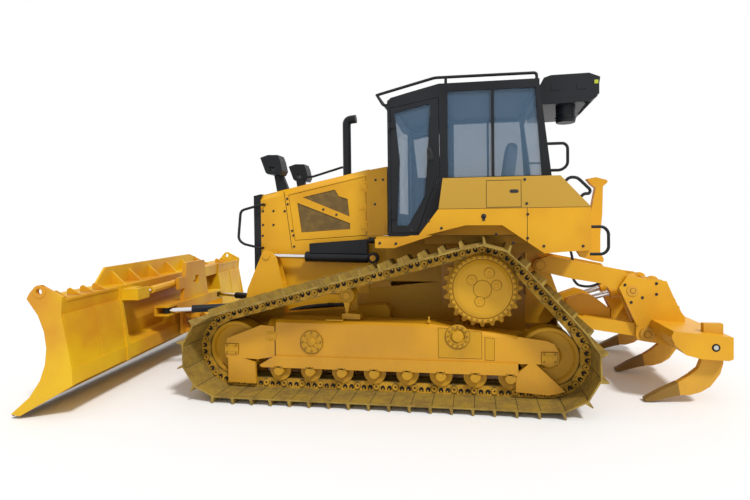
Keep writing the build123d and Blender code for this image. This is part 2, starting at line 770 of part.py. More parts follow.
def make_engine_door():
    """Left engine door with its two meshed windows."""
    door = prism_y(door_outline(DOOR_GAP), (HOOD_HALF - SKIN, HOOD_HALF))
    for outline in DOOR_MESHES:
        door -= prism_y(outline, (HOOD_HALF - SKIN - 1, HOOD_HALF + 1))
        door += prism_y(outline, (HOOD_HALF - SKIN + 4, HOOD_HALF - SKIN + 10))
    for z in ENGINE_HINGES_Z:
        door += hinge_moving(ENGINE_HINGE_X, HOOD_HALF + HINGE_OUT, z, 1)
    return door


def make_cowl():
    """Body between the hood and the cab, with a sloping top and sides a little wider than the hood."""
    low = CAB_LOW_Z
    outline = [
        (COWL_FRONT_X, low),
        (COWL_FRONT_X, COWL_TOP_Z),
        (COWL_REAR_X, COWL_TOP_Z + 36),
        (COWL_REAR_X, low),
    ]
    body = prism_y(outline, (-COWL_HALF, COWL_HALF))
    return body - block(
        (COWL_REAR_X - 1, COWL_FRONT_X + 1),
        (-COWL_HALF + SKIN, COWL_HALF - SKIN),
        (low - 1, COWL_TOP_Z - SKIN),
    )


def make_stack():
    """Exhaust pipe with a slanted mouth that turns back in two mitres."""
    base_z = hood_top_z(STACK_X) + STACK_R * 0.22
    points = [
        (STACK_X, 0, base_z),
        (STACK_X, 0, STACK_TOP_Z - STACK_BEND),
        (STACK_X - STACK_BEND * 0.3, 0, STACK_TOP_Z - STACK_BEND * 0.3),
        (STACK_X - STACK_BEND * 1.1, 0, STACK_TOP_Z + STACK_BEND * 0.6),
    ]
    start = Plane(origin=points[0], z_dir=(0, 0, 1))
    profile = start * RegularPolygon(STACK_R, RAM_SIDES)
    return sweep(profile, path=Polyline(*points), transition=Transition.RIGHT)


def make_lamps():
    """Work lamps in brackets on flat posts at the hood's front corners."""
    pieces = []
    for side in (-1, 1):
        head = prism_y(LAMP_HEAD, (LAMP_Y - LAMP_HALF, LAMP_Y + LAMP_HALF))
        head -= prism_y(LAMP_HOLE, (LAMP_Y - LAMP_HALF - 1, LAMP_Y + LAMP_HALF + 1))
        low = [(x, hood_top_z(x) + SEAT_GAP) for x in LAMP_POST_X]
        flat = HOOD_HALF - HOOD_BEVEL
        post = prism_y([*low, (2310, 2320), (2412, 2320)], (flat - LAMP_POST_HALF * 2, flat))
        lamp = head + post
        pieces.append(lamp if side > 0 else mirrored(lamp))
    return Compound([s for p in pieces for s in p.solids()])


def make_hose_guard():
    """Box over the barrel that covers its hoses."""
    x = (LIFT_BASE_X + 64, LIFT_BASE_X + 726)
    outline = [
        (x[0], LIFT_BASE_Z + 50),
        (x[1], LIFT_BASE_Z + 62),
        (x[1], LIFT_BASE_Z + 167),
        (x[0], LIFT_BASE_Z + 211),
    ]
    return prism_y(outline, (LIFT_Y - 50, LIFT_Y + 50))


def cab_top_line(lift):
    """Top of the cab from the front corner to the rear one, raised by lift."""
    return [
        (CAB_FRONT_X, CAB_TOP_FRONT_Z + lift),
        (CAB_FRONT_X - 40, CAB_TOP_FRONT_Z + 36 + lift),
        (CAB_SHOULDER_X, CAB_TOP_Z - 70 + lift),
        (PILLAR_TOP_X, CAB_TOP_Z + lift),
        (CAB_TOP_REAR_X, CAB_TOP_Z + lift),
    ]


def cab_rear_x(z):
    """X of the leaning rear pillar at a height."""
    if z <= SILL_Z:
        return CAB_REAR_X
    return CAB_REAR_X + (CAB_TOP_REAR_X - CAB_REAR_X) * (z - SILL_Z) / (CAB_TOP_Z - SILL_Z)


def side_windows(gap):
    """Outlines of the two side windows, drawn in by gap, with the mullion between them."""
    low, high = SILL_Z + 6 + gap, CAB_TOP_Z - 35 - gap
    rear = (cab_rear_x(low) + WINDOW_EDGE + gap, cab_rear_x(high) + WINDOW_EDGE / 2 + gap)
    split = (MULLION_X - MULLION_HALF - gap, MULLION_X + MULLION_HALF + gap)
    front = PILLAR_SILL_X - 80 - gap
    return (
        [(rear[0], low), (split[0], low), (split[0], high), (rear[1], high)],
        [(split[1], low), (front, low), (front, high), (split[1], high)],
    )


def cab_door_outline(inset):
    return [
        (CAB_FRONT_X - 30 - inset, CAB_LOW_Z + 30 + inset),
        (CAB_FRONT_X - 30 - inset, CAB_TOP_FRONT_Z - 16 - inset),
        (838, 2945 - inset),
        (PILLAR_TOP_X + inset, CAB_TOP_Z - 85 - inset),
        (PILLAR_SILL_X + inset, SILL_Z + 30),
        (514 + inset, 2014),
        (DOOR_LOW_X + inset, CAB_LOW_Z + 30 + inset),
    ]


def door_glass_outline(grow):
    return [
        (870 + grow, 1700 - grow),
        (836 + grow, 2378),
        (888 + grow, 2878 + grow),
        (505 - grow, 2958 + grow),
        (572 - grow, 2007),
        (750 - grow, 1700 - grow),
    ]


def make_cab():
    """Hollow cab frame with its door openings and window openings cut."""
    side = [(CAB_FRONT_X, CAB_LOW_Z), *cab_top_line(0), (CAB_REAR_X, SILL_Z), (CAB_REAR_X, CAB_LOW_Z)]
    shell = prism_y(side, (-CAB_HALF, CAB_HALF))
    inside = [
        (CAB_FRONT_X - CAB_WALL, CAB_LOW_Z - 1),
        (CAB_FRONT_X - CAB_WALL, CAB_TOP_FRONT_Z + 300),
        (CAB_TOP_REAR_X + CAB_WALL, CAB_TOP_Z + 300),
        (CAB_TOP_REAR_X + CAB_WALL, CAB_TOP_Z),
        (CAB_REAR_X + CAB_WALL, SILL_Z),
        (CAB_REAR_X + CAB_WALL, CAB_LOW_Z - 1),
    ]
    shell -= prism_y(inside, (-CAB_HALF + CAB_WALL, CAB_HALF - CAB_WALL))
    shell -= prism_y(cab_door_outline(0), (-CAB_HALF - 1, CAB_HALF + 1))
    for window in side_windows(0):
        shell -= prism_y(window, (-CAB_HALF - 1, CAB_HALF + 1))
    across = (-CAB_HALF + WINDOW_EDGE, CAB_HALF - WINDOW_EDGE)
    shell -= block((0, CAB_FRONT_X + 1), across, (CAB_LOW_Z + 250, CAB_TOP_FRONT_Z - 20))
    shell -= block((CAB_REAR_X - 1, 0), across, (SILL_Z + 10, CAB_TOP_Z - WINDOW_EDGE))
    for z in CAB_HINGES_Z:
        lugs = hinge_fixed(CAB_HINGE_X, CAB_HALF + HINGE_OUT, z)
        shell += lugs + mirrored(lugs)
    return shell


def make_cab_glass():
    """Fixed panes, each seated in its opening."""
    g = SEAT_GAP
    y = (CAB_HALF - 30, CAB_HALF - 30 + PANE)
    panes = [prism_y(window, y) for window in side_windows(g)]
    panes += [mirrored(pane) for pane in panes]
    half = CAB_HALF - WINDOW_EDGE - g
    tall = (CAB_LOW_Z + 250 + g, CAB_TOP_FRONT_Z - 20 - g)
    front = block((CAB_FRONT_X - 30, CAB_FRONT_X - 30 + PANE), (-half, half), tall)
    low, high = SILL_Z + 10 + g, CAB_TOP_Z - WINDOW_EDGE - g
    lean = [(cab_rear_x(z) + 30, z) for z in (low, high)]
    rear = prism_y([*lean, *[(x - PANE, z) for x, z in reversed(lean)]], (-half, half))
    return Compound([s for p in (*panes, front, rear) for s in p.solids()])


def make_cab_roof():
    """Roof skin over the cab, following its top line."""
    outline = cab_top_line(SEAT_GAP) + cab_top_line(ROOF_THICKNESS)[::-1]
    return prism_y(outline, (-CAB_HALF, CAB_HALF))


def make_roof_guard():
    """Tube rail round the roof's front and sides, on short posts."""
    y = CAB_HALF - 60
    roof_top = CAB_TOP_Z + ROOF_THICKNESS + SEAT_GAP
    foot_z = CAB_TOP_FRONT_Z + ROOF_THICKNESS / 2
    nose_z = foot_z + 112
    rear_x = CAB_TOP_REAR_X + 20
    rail = tube(
        [
            (CAB_FRONT_X + SEAT_GAP, y, foot_z),
            (CAB_FRONT_X + 50, y, foot_z),
            (GUARD_NOSE_X, y, nose_z),
            (ROOF_KNEE_X, y, ROOF_RAIL_Z),
            (rear_x, y, ROOF_RAIL_Z - 6),
            (rear_x, y, roof_top),
        ],
        RAIL_R,
    )
    rail += bar((PILLAR_TOP_X - 70, y, roof_top), (PILLAR_TOP_X - 70, y, ROOF_RAIL_Z), RAIL_R, TUBE_SIDES)
    nose = bar((GUARD_NOSE_X, -y, nose_z), (GUARD_NOSE_X, y, nose_z), RAIL_R, TUBE_SIDES)
    return rail + mirrored(rail) + nose


def make_cab_door():
    """Left cab door, a frame round its window."""
    door = prism_y(cab_door_outline(DOOR_GAP), (CAB_HALF - 45, CAB_HALF))
    door -= prism_y(door_glass_outline(0), (CAB_HALF - 50, CAB_HALF + 5))
    for z in CAB_HINGES_Z:
        door += hinge_moving(CAB_HINGE_X, CAB_HALF + HINGE_OUT, z, -1)
    return door


def make_door_glass():
    return prism_y(door_glass_outline(-SEAT_GAP), (CAB_HALF - 28, CAB_HALF - 20))


def make_platform():
    """Cab floor, seated on the case."""
    inset = CAB_WALL + SEAT_GAP
    x = (CAB_REAR_X + inset, CAB_FRONT_X - inset)
    y = (-CAB_HALF + inset, CAB_HALF - inset)
    return block(x, y, (CAB_LOW_Z, CAB_LOW_Z + 40))


def make_seat():
    z = CAB_LOW_Z + 40 + SEAT_GAP
    seat = block((-180, 180), (-180, 180), (z, z + 260))
    seat += block((-260, 260), (-260, 260), (z + 250, z + 390))
    back = prism_y([(-330, z + 300), (-430, z + 1020), (-310, z + 1040), (-190, z + 300)], (-240, 240))
    return seat + back


def make_console():
    z = CAB_LOW_Z + 40 + SEAT_GAP
    dash = block((560, 740), (-260, 260), (z, z + 620))
    arms = []
    for sign in (-1, 1):
        y = sorted((sign * 330, sign * 440))
        arms.append(block((-200, 260), y, (z, z + 560)))
    return Compound([s for p in [dash, *arms] for s in p.solids()])


def make_aircon():
    """Cooling unit behind the roof, with the round filter can under it."""
    top = AIRCON_TOP_Z
    outline = [
        (cab_rear_x(top - AIRCON_FRONT_LOW) - SEAT_GAP, top - AIRCON_FRONT_LOW),
        (cab_rear_x(top - AIRCON_SHOULDER) - SEAT_GAP, top - AIRCON_SHOULDER),
        (CAB_TOP_REAR_X - 95, top - 22),
        (-1139, top),
        (-1251, top - 48),
        (-1210, top - 277),
        (-1033, top - 419),
    ]
    unit = prism_y(outline, (-AIRCON_HALF, AIRCON_HALF))
    can = bar((FILTER_X, FILTER_Y, top - 485), (FILTER_X, FILTER_Y, top - 330), FILTER_R, RAM_SIDES)
    return unit + can


def fender_outline():
    return [
        (1072, 1475),
        (1072, 1570),
        (640, 1580),
        (422, CREASE_Z),
        (378, FENDER_TOP_Z),
        (TANK_TOP_X, FENDER_TOP_Z),
        (TANK_REAR_X, CREASE_Z),
        (TANK_REAR_X, TANK_LOW_Z),
        (-830, TANK_LOW_Z - 11),
        (-600, TANK_LOW_Z - 30),
        (-201, 1694),
        (155, 1697),
    ]


def make_rear_body():
    """Fenders on both sides with the tank between them behind the cab."""
    fender = prism_y(fender_outline(), (CAB_HALF + 10, FENDER_HALF))
    tank = [
        (CAB_REAR_X - 10, TANK_LOW_Z),
        (CAB_REAR_X - 10, FENDER_TOP_Z),
        (TANK_TOP_X, FENDER_TOP_Z),
        (TANK_REAR_X, CREASE_Z),
        (TANK_REAR_X, TANK_LOW_Z),
    ]
    body = prism_y(tank, (-FENDER_HALF, FENDER_HALF))
    room = LINK_Y + LINK_HALF + SIDE_GAP * 2
    low = TANK_LOW_Z - 5
    relief = [(TANK_REAR_X - 5, low), (-780, low), (TANK_REAR_X - 5, TANK_LOW_Z + 85)]
    body -= prism_y(relief, (-room, room))
    foot = [
        (TANK_REAR_X, TANK_LOW_Z - 95),
        (TANK_REAR_X, TANK_LOW_Z + 10),
        (-900, TANK_LOW_Z + 10),
        (-950, TANK_LOW_Z - 70),
    ]
    for sign in (-1, 1):
        body += prism_y(foot, sorted((sign * 860, sign * 940)))
    low = (-TRACK_INNER + 20, TRACK_INNER - 20)
    floor = block((CAB_REAR_X - 15, 600), low, (CASE_TOP_Z + SEAT_GAP, CAB_LOW_Z - SEAT_GAP))
    return body + fender + mirrored(fender) + floor


def make_rear_post():
    """Post with a flared top behind the tank, on its own bracket."""
    post = prism_y(POST_OUTLINE, (POST_Y - POST_HALF, POST_Y + POST_HALF))
    bracket = block((-1180, TANK_REAR_X - SEAT_GAP), (POST_Y - POST_HALF, POST_Y + POST_HALF), (1560, 1660))
    return post + bracket


def slope_handle_points():
    """Points of the handle that stands on the tank's slope, from distances down and out of the slope."""
    run, drop = TANK_TOP_X - TANK_REAR_X, FENDER_TOP_Z - CREASE_Z
    length = math.hypot(run, drop)
    along_x, along_z = -run / length, -drop / length
    return [
        (
            TANK_TOP_X + along_x * s + along_z * (h or SEAT_GAP),
            FENDER_TOP_Z + along_z * s - along_x * (h or SEAT_GAP),
        )
        for s, h in HANDLE
    ]


def make_grab_rails():
    """Bent handles at the hood's front, the cab's rear, the tank's slope and rear, and over the hood."""
    foot = HOOD_HALF + SEAT_GAP
    front = tube(
        [
            (2510, foot, 1962),
            (2510, RAIL_Y, 1962),
            (2770, RAIL_Y, 1895),
            (2803, RAIL_Y, 1564),
            (2746, RAIL_Y, 1506),
            (2530, RAIL_Y, 1455),
            (2530, foot, 1455),
        ],
        RAIL_R,
    )
    back = TANK_REAR_X - SEAT_GAP
    rear_points = [(back, 1670), (-1169, 1670), (-1213, 1620), (-1213, 1450), (-1168, 1404), (back, 1404)]
    rear = tube([(x, 900, z) for x, z in rear_points], RAIL_R)
    top, low = 2508, 2240
    foot_x = [cab_rear_x(z - RAIL_R) - SEAT_GAP for z in (top, low)]
    cab_points = [(foot_x[0], top), (-829, top), (-859, 2472), (-859, 2290), (-800, low), (foot_x[1], low)]
    cab = tube([(x, CAB_HALF - WINDOW_EDGE / 2, z) for x, z in cab_points], RAIL_R)
    slope = tube([(x, 950, z) for x, z in slope_handle_points()], RAIL_R)
    end_x = STACK_X + STACK_R + 60
    over = tube(
        [
            (2251.5, -350, 2361),
            (2190, -350, 2361),
            (end_x, -300, 2478),
            (end_x, -300, hood_top_z(end_x - RAIL_R) + SEAT_GAP),
        ],
        RAIL_R,
    )
    return Compound([s for p in (both(front), both(rear), both(cab), both(slope), over) for s in p.solids()])


# Hydraulic cylinders
def along(base, eye, distance):
    """The point at a distance from base towards eye."""
    a, b = Vector(*base), Vector(*eye)
    return a + (b - a).normalized() * distance


def ring(point, axis, radius, width, hole=False):
    """An eye, or the hole for its pin, along the given axis."""
    half = Vector(*axis) * (width / 2)
    return bar(Vector(*point) - half, Vector(*point) + half, radius, PIN_SIDES, hole)


def make_barrel(base, eye, axis, ram):
    """Barrel with its eye on a pin and a bore that the rod slides in."""
    reach = ram["barrel_length"]
    body = bar(along(base, eye, ram["eye_r"] * 0.9), along(base, eye, reach), ram["barrel_r"], RAM_SIDES)
    body += ring(base, axis, ram["eye_r"], ram["eye_width"])
    body -= ring(base, axis, ram["pin_r"] + PIN_GAP, ram["eye_width"] * 2, True)
    depth = along(base, eye, ram["eye_r"] + 15)
    return body - bar(depth, along(base, eye, reach + 5), ram["rod_r"] + PIN_GAP, PIN_SIDES, True)


def make_rod(base, eye, axis, ram):
    """Rod that ends in the eye, whose pin lies flush in it."""
    length = (Vector(*eye) - Vector(*base)).length
    rod = bar(along(base, eye, length - ram["rod_length"]), along(base, eye, length), ram["rod_r"], PIN_SIDES)
    return rod + ring(eye, axis, ram["rod_eye_r"], ram["eye_width"])


LIFT_RAM = dict(
    barrel_r=58, rod_r=27, pin_r=34, eye_r=62, rod_eye_r=48, eye_width=60, barrel_length=785, rod_length=940
)
ANGLE_RAM = dict(
    barrel_r=45, rod_r=24, pin_r=26, eye_r=48, rod_eye_r=42, eye_width=60, barrel_length=590, rod_length=600
)
TILT_RAM = dict(
    barrel_r=42, rod_r=22, pin_r=24, eye_r=44, rod_eye_r=38, eye_width=50, barrel_length=500, rod_length=520
)
RIPPER_RAM = dict(
    barrel_r=66, rod_r=30, pin_r=30, eye_r=60, rod_eye_r=48, eye_width=60, barrel_length=470, rod_length=520
)

Y_AXIS = (0, 1, 0)
Z_AXIS = (0, 0, 1)
LIFT_BASE = (LIFT_BASE_X, LIFT_Y, LIFT_BASE_Z)
LIFT_EYE = (LIFT_EYE_X, LIFT_Y, LIFT_EYE_Z)


# Blade placement: turned about the ball, then tilted
BLADE_PLACE = (
    Pos(BALL_X, 0, BALL_Z) * Rot(0, 0, BLADE_ANGLE) * Rot(BLADE_TILT, 0, 0) * Pos(-BALL_X, 0, -BALL_Z)
)
MOUNT_PLACE = Pos(BALL_X, 0, BALL_Z) * Rot(0, 0, BLADE_ANGLE) * Pos(-BALL_X, 0, -BALL_Z)


def on_mount(point):
    return tuple((MOUNT_PLACE * Pos(*point)).position)


def on_blade(point):
    return tuple((BLADE_PLACE * Pos(*point)).position)


TILT_AXIS = (math.cos(math.radians(BLADE_ANGLE)), math.sin(math.radians(BLADE_ANGLE)), 0)


def angle_base(side):
    return (ANGLE_BASE_X, side * ANGLE_BASE_Y, ANGLE_Z)


def angle_eye(side):
    return on_mount((ANGLE_EYE_X, side * ANGLE_EYE_U, ANGLE_Z))


TILT_BASE = (TILT_X, TILT_BASE_U, TILT_Z)
TILT_EYE = (TILT_X, TILT_EYE_U, TILT_Z)


def make_lift_frame():
    """Two arms from the trunnions to a shared nose, with the lift rods' uprights."""
    h = ARM_HEIGHT / 2
    arm = prism_y(
        [
            (TRUNNION_X - 110, TRUNNION_Z - 60),
            (TRUNNION_X - 110, TRUNNION_Z + 60),
            (TRUNNION_X - 60, TRUNNION_Z + h),
            (ARM_BEND_X, ARM_BEND_Z + h),
            (ARM_BEND_X + 140, ARM_BEND_Z + h - 20),
            (ARM_BEND_X + 140, ARM_BEND_Z - h),
            (ARM_BEND_X, ARM_BEND_Z - h),
            (TRUNNION_X - 60, TRUNNION_Z - h),
        ],
        (ARM_INNER, ARM_OUTER),
    )
    bore = (ARM_INNER - 5, ARM_OUTER - 20)
    arm -= drum(TRUNNION_X, TRUNNION_Z, TRUNNION_R + PIN_GAP, bore, PIN_SIDES, True)
    slot_half = LIFT_RAM["eye_width"] / 2 + SIDE_GAP
    upright = prism_y(
        [
            (LIFT_EYE_X - 215, ARM_BEND_Z + 150),
            (LIFT_EYE_X - 200, 990),
            (LIFT_EYE_X - 121, LIFT_EYE_Z - 35),
            (LIFT_EYE_X - 60, LIFT_EYE_Z + 48),
            (LIFT_EYE_X + 30, LIFT_EYE_Z + 60),
            (LIFT_EYE_X + 64, LIFT_EYE_Z),
            (LIFT_EYE_X + 234, 990),
            (LIFT_EYE_X + 290, ARM_BEND_Z + 60),
        ],
        (LIFT_Y - slot_half - EAR, LIFT_Y + slot_half + EAR),
    )
    slot = block(
        (LIFT_EYE_X - 400, LIFT_EYE_X + 400),
        (LIFT_Y - slot_half, LIFT_Y + slot_half),
        (LIFT_EYE_Z - 300, LIFT_EYE_Z + 200),
    )
    cap_y = (LIFT_Y + slot_half + EAR - 2, LIFT_Y + slot_half + EAR + 12)
    arm += (upright - slot) + drum(LIFT_EYE_X, LIFT_EYE_Z, 42, cap_y, PIN_SIDES)
    neck = prism_z(
        [
            (ARM_BEND_X, ARM_OUTER),
            (ARM_BEND_X + 140, ARM_OUTER),
            (NOSE_X, NOSE_HALF),
            (NOSE_X, 0),
            (NECK_REAR_X, 0),
            (NECK_REAR_X, ARM_INNER + 10),
        ],
        (NECK_LOW_Z, NECK_TOP_Z),
    )
    half = arm + neck
    frame = half + mirrored(half)
    thick = (BALL_Z - NOSE_THICK, BALL_Z + NOSE_THICK)
    frame += block((NOSE_X - 20, BALL_X), (-NOSE_HALF, NOSE_HALF), thick)
    frame += bar((BALL_X, 0, thick[0]), (BALL_X, 0, thick[1]), NOSE_HALF, RAM_SIDES)
    frame -= bar((BALL_X, 0, BALL_Z - 200), (BALL_X, 0, BALL_Z + 200), MOUNT_PIN_R + PIN_GAP, PIN_SIDES, True)
    for side in (-1, 1):
        x, y, z = angle_base(side)
        half_eye, pin_r = ANGLE_RAM["eye_width"] / 2, ANGLE_RAM["pin_r"]
        frame += bar((x, y, NECK_TOP_Z - 5), (x, y, z - half_eye - SEAT_GAP), pin_r + 10, PIN_SIDES)
        frame += bar((x, y, z - half_eye - SIDE_GAP), (x, y, z + half_eye + 12), pin_r, PIN_SIDES)
        frame += bar((x, y, z + half_eye + 5), (x, y, z + half_eye + 20), pin_r + 10, PIN_SIDES)
    return frame


def make_blade_mount():
    """Clevis on the nose, yoke for the angle rods and tower for the tilt cylinder."""
    low, high = BALL_Z - NOSE_THICK - SIDE_GAP, BALL_Z + NOSE_THICK + SIDE_GAP
    body = None
    for z in ((low - CLEVIS, low), (high, high + CLEVIS)):
        plate = bar((BALL_X, 0, z[0]), (BALL_X, 0, z[1]), MOUNT_R, RAM_SIDES)
        plate += block((BALL_X, MOUNT_FRONT_X), (-MOUNT_R, MOUNT_R), z)
        body = plate if body is None else body + plate
    body += block((MOUNT_FRONT_X - 35, MOUNT_FRONT_X), (-170, 170), (low - CLEVIS, YOKE_TOP_Z))
    body += bar((BALL_X, 0, low - CLEVIS), (BALL_X, 0, high + CLEVIS + 15), MOUNT_PIN_R, PIN_SIDES)
    yoke = block((ANGLE_EYE_X - 60, MOUNT_FRONT_X), (-YOKE_HALF, YOKE_HALF), (YOKE_LOW_Z, YOKE_TOP_Z))
    half_eye = ANGLE_RAM["eye_width"] / 2 + SIDE_GAP
    for side in (-1, 1):
        y = sorted((side * (ANGLE_EYE_U - 130), side * (YOKE_HALF + 10)))
        yoke -= block((ANGLE_EYE_X - 100, MOUNT_FRONT_X - 25), y, (ANGLE_Z - half_eye, ANGLE_Z + half_eye))
    body += yoke
    tower = prism_x(
        [
            (-330, YOKE_TOP_Z - 5),
            (-240, TOWER_TOP_Z),
            (240, TOWER_TOP_Z),
            (330, YOKE_TOP_Z - 5),
        ],
        (TILT_X - 90, TILT_X - 40),
    )
    tower -= block((TILT_X - 100, TILT_X - 30), (-75, 75), (980, 1080))
    body += tower
    x, u, z = TILT_BASE
    tip = x + TILT_RAM["eye_width"] / 2 + 8
    body += block((x - 90, x - 50), (180, u + 50), (z - 70, z + 70))
    body += bar((x - 60, u, z), (tip, u, z), TILT_RAM["pin_r"], PIN_SIDES)
    body += bar((MOUNT_FRONT_X - 10, 0, BALL_Z), (TILT_PIN_END_X, 0, BALL_Z), TILT_PIN_R, RAM_SIDES)
    return MOUNT_PLACE * body


FACE_TOP = (4205, 1118)
FACE_MID = (4040, 640)
FACE_LOW = (4214, 230)
BIT_TIP = (4423, 50)


def circle_through(a, b, c):
    """Centre and radius of the circle through three points."""
    ax, ay = b[0] - a[0], b[1] - a[1]
    bx, by = c[0] - a[0], c[1] - a[1]
    cross = 2 * (ax * by - ay * bx)
    la, lb = ax**2 + ay**2, bx**2 + by**2
    x, y = (by * la - ay * lb) / cross, (ax * lb - bx * la) / cross
    return (a[0] + x, a[1] + y), math.hypot(x, y)


FACE_CENTRE, FACE_RADIUS = circle_through(FACE_TOP, FACE_MID, FACE_LOW)


def face_x(z, behind=0):
    """X of the face's arc at a height, or of a surface behind it."""
    return FACE_CENTRE[0] - math.sqrt((FACE_RADIUS + behind) ** 2 - (z - FACE_CENTRE[1]) ** 2)


def face_line(z_from, z_to, behind, count=7):
    """Points along the face's arc from one height to another."""
    points = []
    for i in range(count):
        z = z_from + (z_to - z_from) * i / (count - 1)
        points.append((face_x(z, behind), z))
    return points


def make_blade():
    """Curved face with box beams behind it, fold ribs, end plates, spill guard and tilt bracket."""
    t = MOULDBOARD
    top, low = FACE_TOP[1], FACE_LOW[1]
    mid = t * 0.6
    span = (-BLADE_HALF - 5, BLADE_HALF + 5)
    blade = prism_y(face_line(top, low, 0) + face_line(low + 8, top - 8, t), span)
    beam_low = [(BACK_X, 480), (BACK_X, 335), (4190, 236)] + face_line(260, 520, mid, 4)
    beam_top = [(3900, 1110), (3915, 965)] + face_line(930, 1105, mid, 3)
    blade += prism_y(beam_low, span) + prism_y(beam_top, span)
    rib_outline = [(3880, 1122), (3895, 970), (BACK_X - 8, 488), (BACK_X - 8, 326), (4180, 226)]
    rib_outline += face_line(270, 1100, mid, 7)
    end_outline = [
        (4060, 1225),
        (3890, 1134),
        (3907, 978),
        (BACK_X - 15, 487),
        (BACK_X - 15, 338),
        (4325, 60),
        (4405, 78),
    ]
    end_outline += [(x + 14, z) for x, z in face_line(low, top, 0)] + [(4190, 1170), (4140, 1225)]
    panel = [(BACK_X + 6, 470), (3900, 975), (3922, 975), (BACK_X + 28, 470)]
    for side in (-1, 1):
        blade += prism_y(panel, sorted((side * (FOLD_U - 10), side * (BLADE_HALF + 5))))
        blade += prism_y(rib_outline, sorted((side * FOLD_U, side * (FOLD_U - 45))))
        end = sorted((side * BLADE_HALF, side * (BLADE_HALF + END_PLATE)))
        plate = prism_y(end_outline, end)
        plate -= drum(BLADE_EYE_X, BLADE_EYE_Z, BLADE_EYE_R, (end[0] - 5, end[1] + 5))
        blade += plate
    guard = [(-1349, 1100), (-733, GUARD_PLATE_Z), (1105, GUARD_PLATE_Z), (1305, 1100)]
    blade += prism_x(guard, (4120, 4145))
    for u in (-900, -500, -100, 300, 700, 1000):
        blade += prism_y([(4130, 1095), (3960, 1095), (4130, 1260)], (u - 12, u + 12))
    blade += block((BACK_X + 10, 4050), (-230, 230), (BALL_Z - 130, BALL_Z + 150))
    blade += bar((MOUNT_FRONT_X + 12, 0, BALL_Z), (BACK_X + 50, 0, BALL_Z), TILT_PIN_R + 40, RAM_SIDES)
    start, end = (MOUNT_FRONT_X - 20, 0, BALL_Z), (TILT_PIN_END_X + 5, 0, BALL_Z)
    blade -= bar(start, end, TILT_PIN_R + PIN_GAP, RAM_SIDES, True)
    x, u, z = TILT_EYE
    half = TILT_RAM["eye_width"] / 2 + SIDE_GAP
    arm = block((x - half - 20, 3930), (u - 60, FOLD_U - 20), (z - 60, z + 60))
    arm -= block((x - half, x + half), (u - 80, u + 75), (z - 80, z + 80))
    blade += arm
    base = edge_strip(EDGE_THICK + SEAT_GAP, EDGE_THICK + SEAT_GAP + 24, -30, 110)
    blade += prism_y(base, span)
    return BLADE_PLACE * blade


def edge_strip(near, far, start, end):
    """A strip below the edge's top plane, between two distances along it from the face's foot."""
    dx, dz = BIT_TIP[0] - FACE_LOW[0], BIT_TIP[1] - FACE_LOW[1]
    length = math.hypot(dx, dz)
    ux, uz = dx / length, dz / length
    return [
        (FACE_LOW[0] + ux * a + uz * b, FACE_LOW[1] + uz * a - ux * b)
        for a, b in ((start, near), (end, near), (end, far), (start, far))
    ]


def make_cutting_edge():
    """Bolted edge under the face."""
    length = math.dist(BIT_TIP, FACE_LOW)
    outline = edge_strip(0, EDGE_THICK, SEAT_GAP, length)
    outline[2] = (BIT_TIP[0] - EDGE_THICK * 0.6, BIT_TIP[1])
    outline[3] = edge_strip(0, EDGE_THICK, 8, length)[3]
    half = BLADE_HALF - SEAT_GAP
    return BLADE_PLACE * prism_y(outline, (-half, half))


# Ripper
def link_plate(outline, pins, half, boss):
    """A box link from its outline, with a round boss and a bore at each pin."""
    body = prism_y(outline, half)
    for x, z in pins:
        body += drum(x, z, boss, half, RAM_SIDES)
        body -= drum(x, z, LINK_PIN_R + PIN_GAP, (half[0] - 5, half[1] + 5), PIN_SIDES, True)
    return body


LINK_SIDES = (LINK_Y - LINK_HALF, LINK_Y + LINK_HALF)
PLATE_SIDES = (
    (LINK_SIDES[0] - SIDE_GAP - EAR, LINK_SIDES[0] - SIDE_GAP),
    (LINK_SIDES[1] + SIDE_GAP, LINK_SIDES[1] + SIDE_GAP + EAR),
)
LOWER_FRONT_X = UPPER_FRONT_X + LOWER_REAR_X - UPPER_REAR_X
LOWER_FRONT_Z = UPPER_FRONT_Z + LOWER_REAR_Z - UPPER_REAR_Z
LOWER_FRONT = (LOWER_FRONT_X, LOWER_FRONT_Z)
LOWER_REAR = (LOWER_REAR_X, LOWER_REAR_Z)
UPPER_FRONT = (UPPER_FRONT_X, UPPER_FRONT_Z)
UPPER_REAR = (UPPER_REAR_X, UPPER_REAR_Z)


LOWER_LINK = [
    (-1700, 618),
    (-1640, 650),
    (-1006, 716),
    (-900, 790),
    (-810, 866),
    (-735, 750),
    (-860, 660),
    (-1010, 594),
    (-1175, 577),
    (-1587, 520),
    (-1700, 480),
]
UPPER_LINK = [
    (-600, 1200),
    (-600, 1315),
    (-714, 1359),
    (-1477, 1207),
    (-1600, 1045),
    (-1590, 945),
    (-1480, 935),
    (-1413, 1000),
    (-1245, 1068),
    (-970, 1113),
]
ROD_EAR = [(-900, 640), (-900, 720), (-938, 866), (-1116, 930), (-1217, 904), (-1392, 766), (-1392, 640)]
RIPPER_UPRIGHT = [
    (-1413, 1030),
    (-1492, 1150),
    (-1880, 1100),
    (-1941, 950),
    (-2017, 787),
    (-2055, 730),
    (-2047, 600),
    (-1940, 430),
    (-1802, 455),
    (-1678, 472),
    (-1600, 485),
    (-1580, 530),
    (-1584, 640),
]
UPRIGHT_RIB = [
    (-1584, 640),
    (-1413, 1030),
    (-1492, 1150),
    (-1710, 1120),
    (-1741, 997),
    (-1725, 881),
    (-1616, 647),
]
BEAM_SECTION = [
    (-1732, 703),
    (-2075, 675),
    (-2235, 658),
    (-2235, 461),
    (-2201, 444),
    (-1962, 454),
    (-1840, 486),
    (-1745, 572),
    (-1712, 650),
]
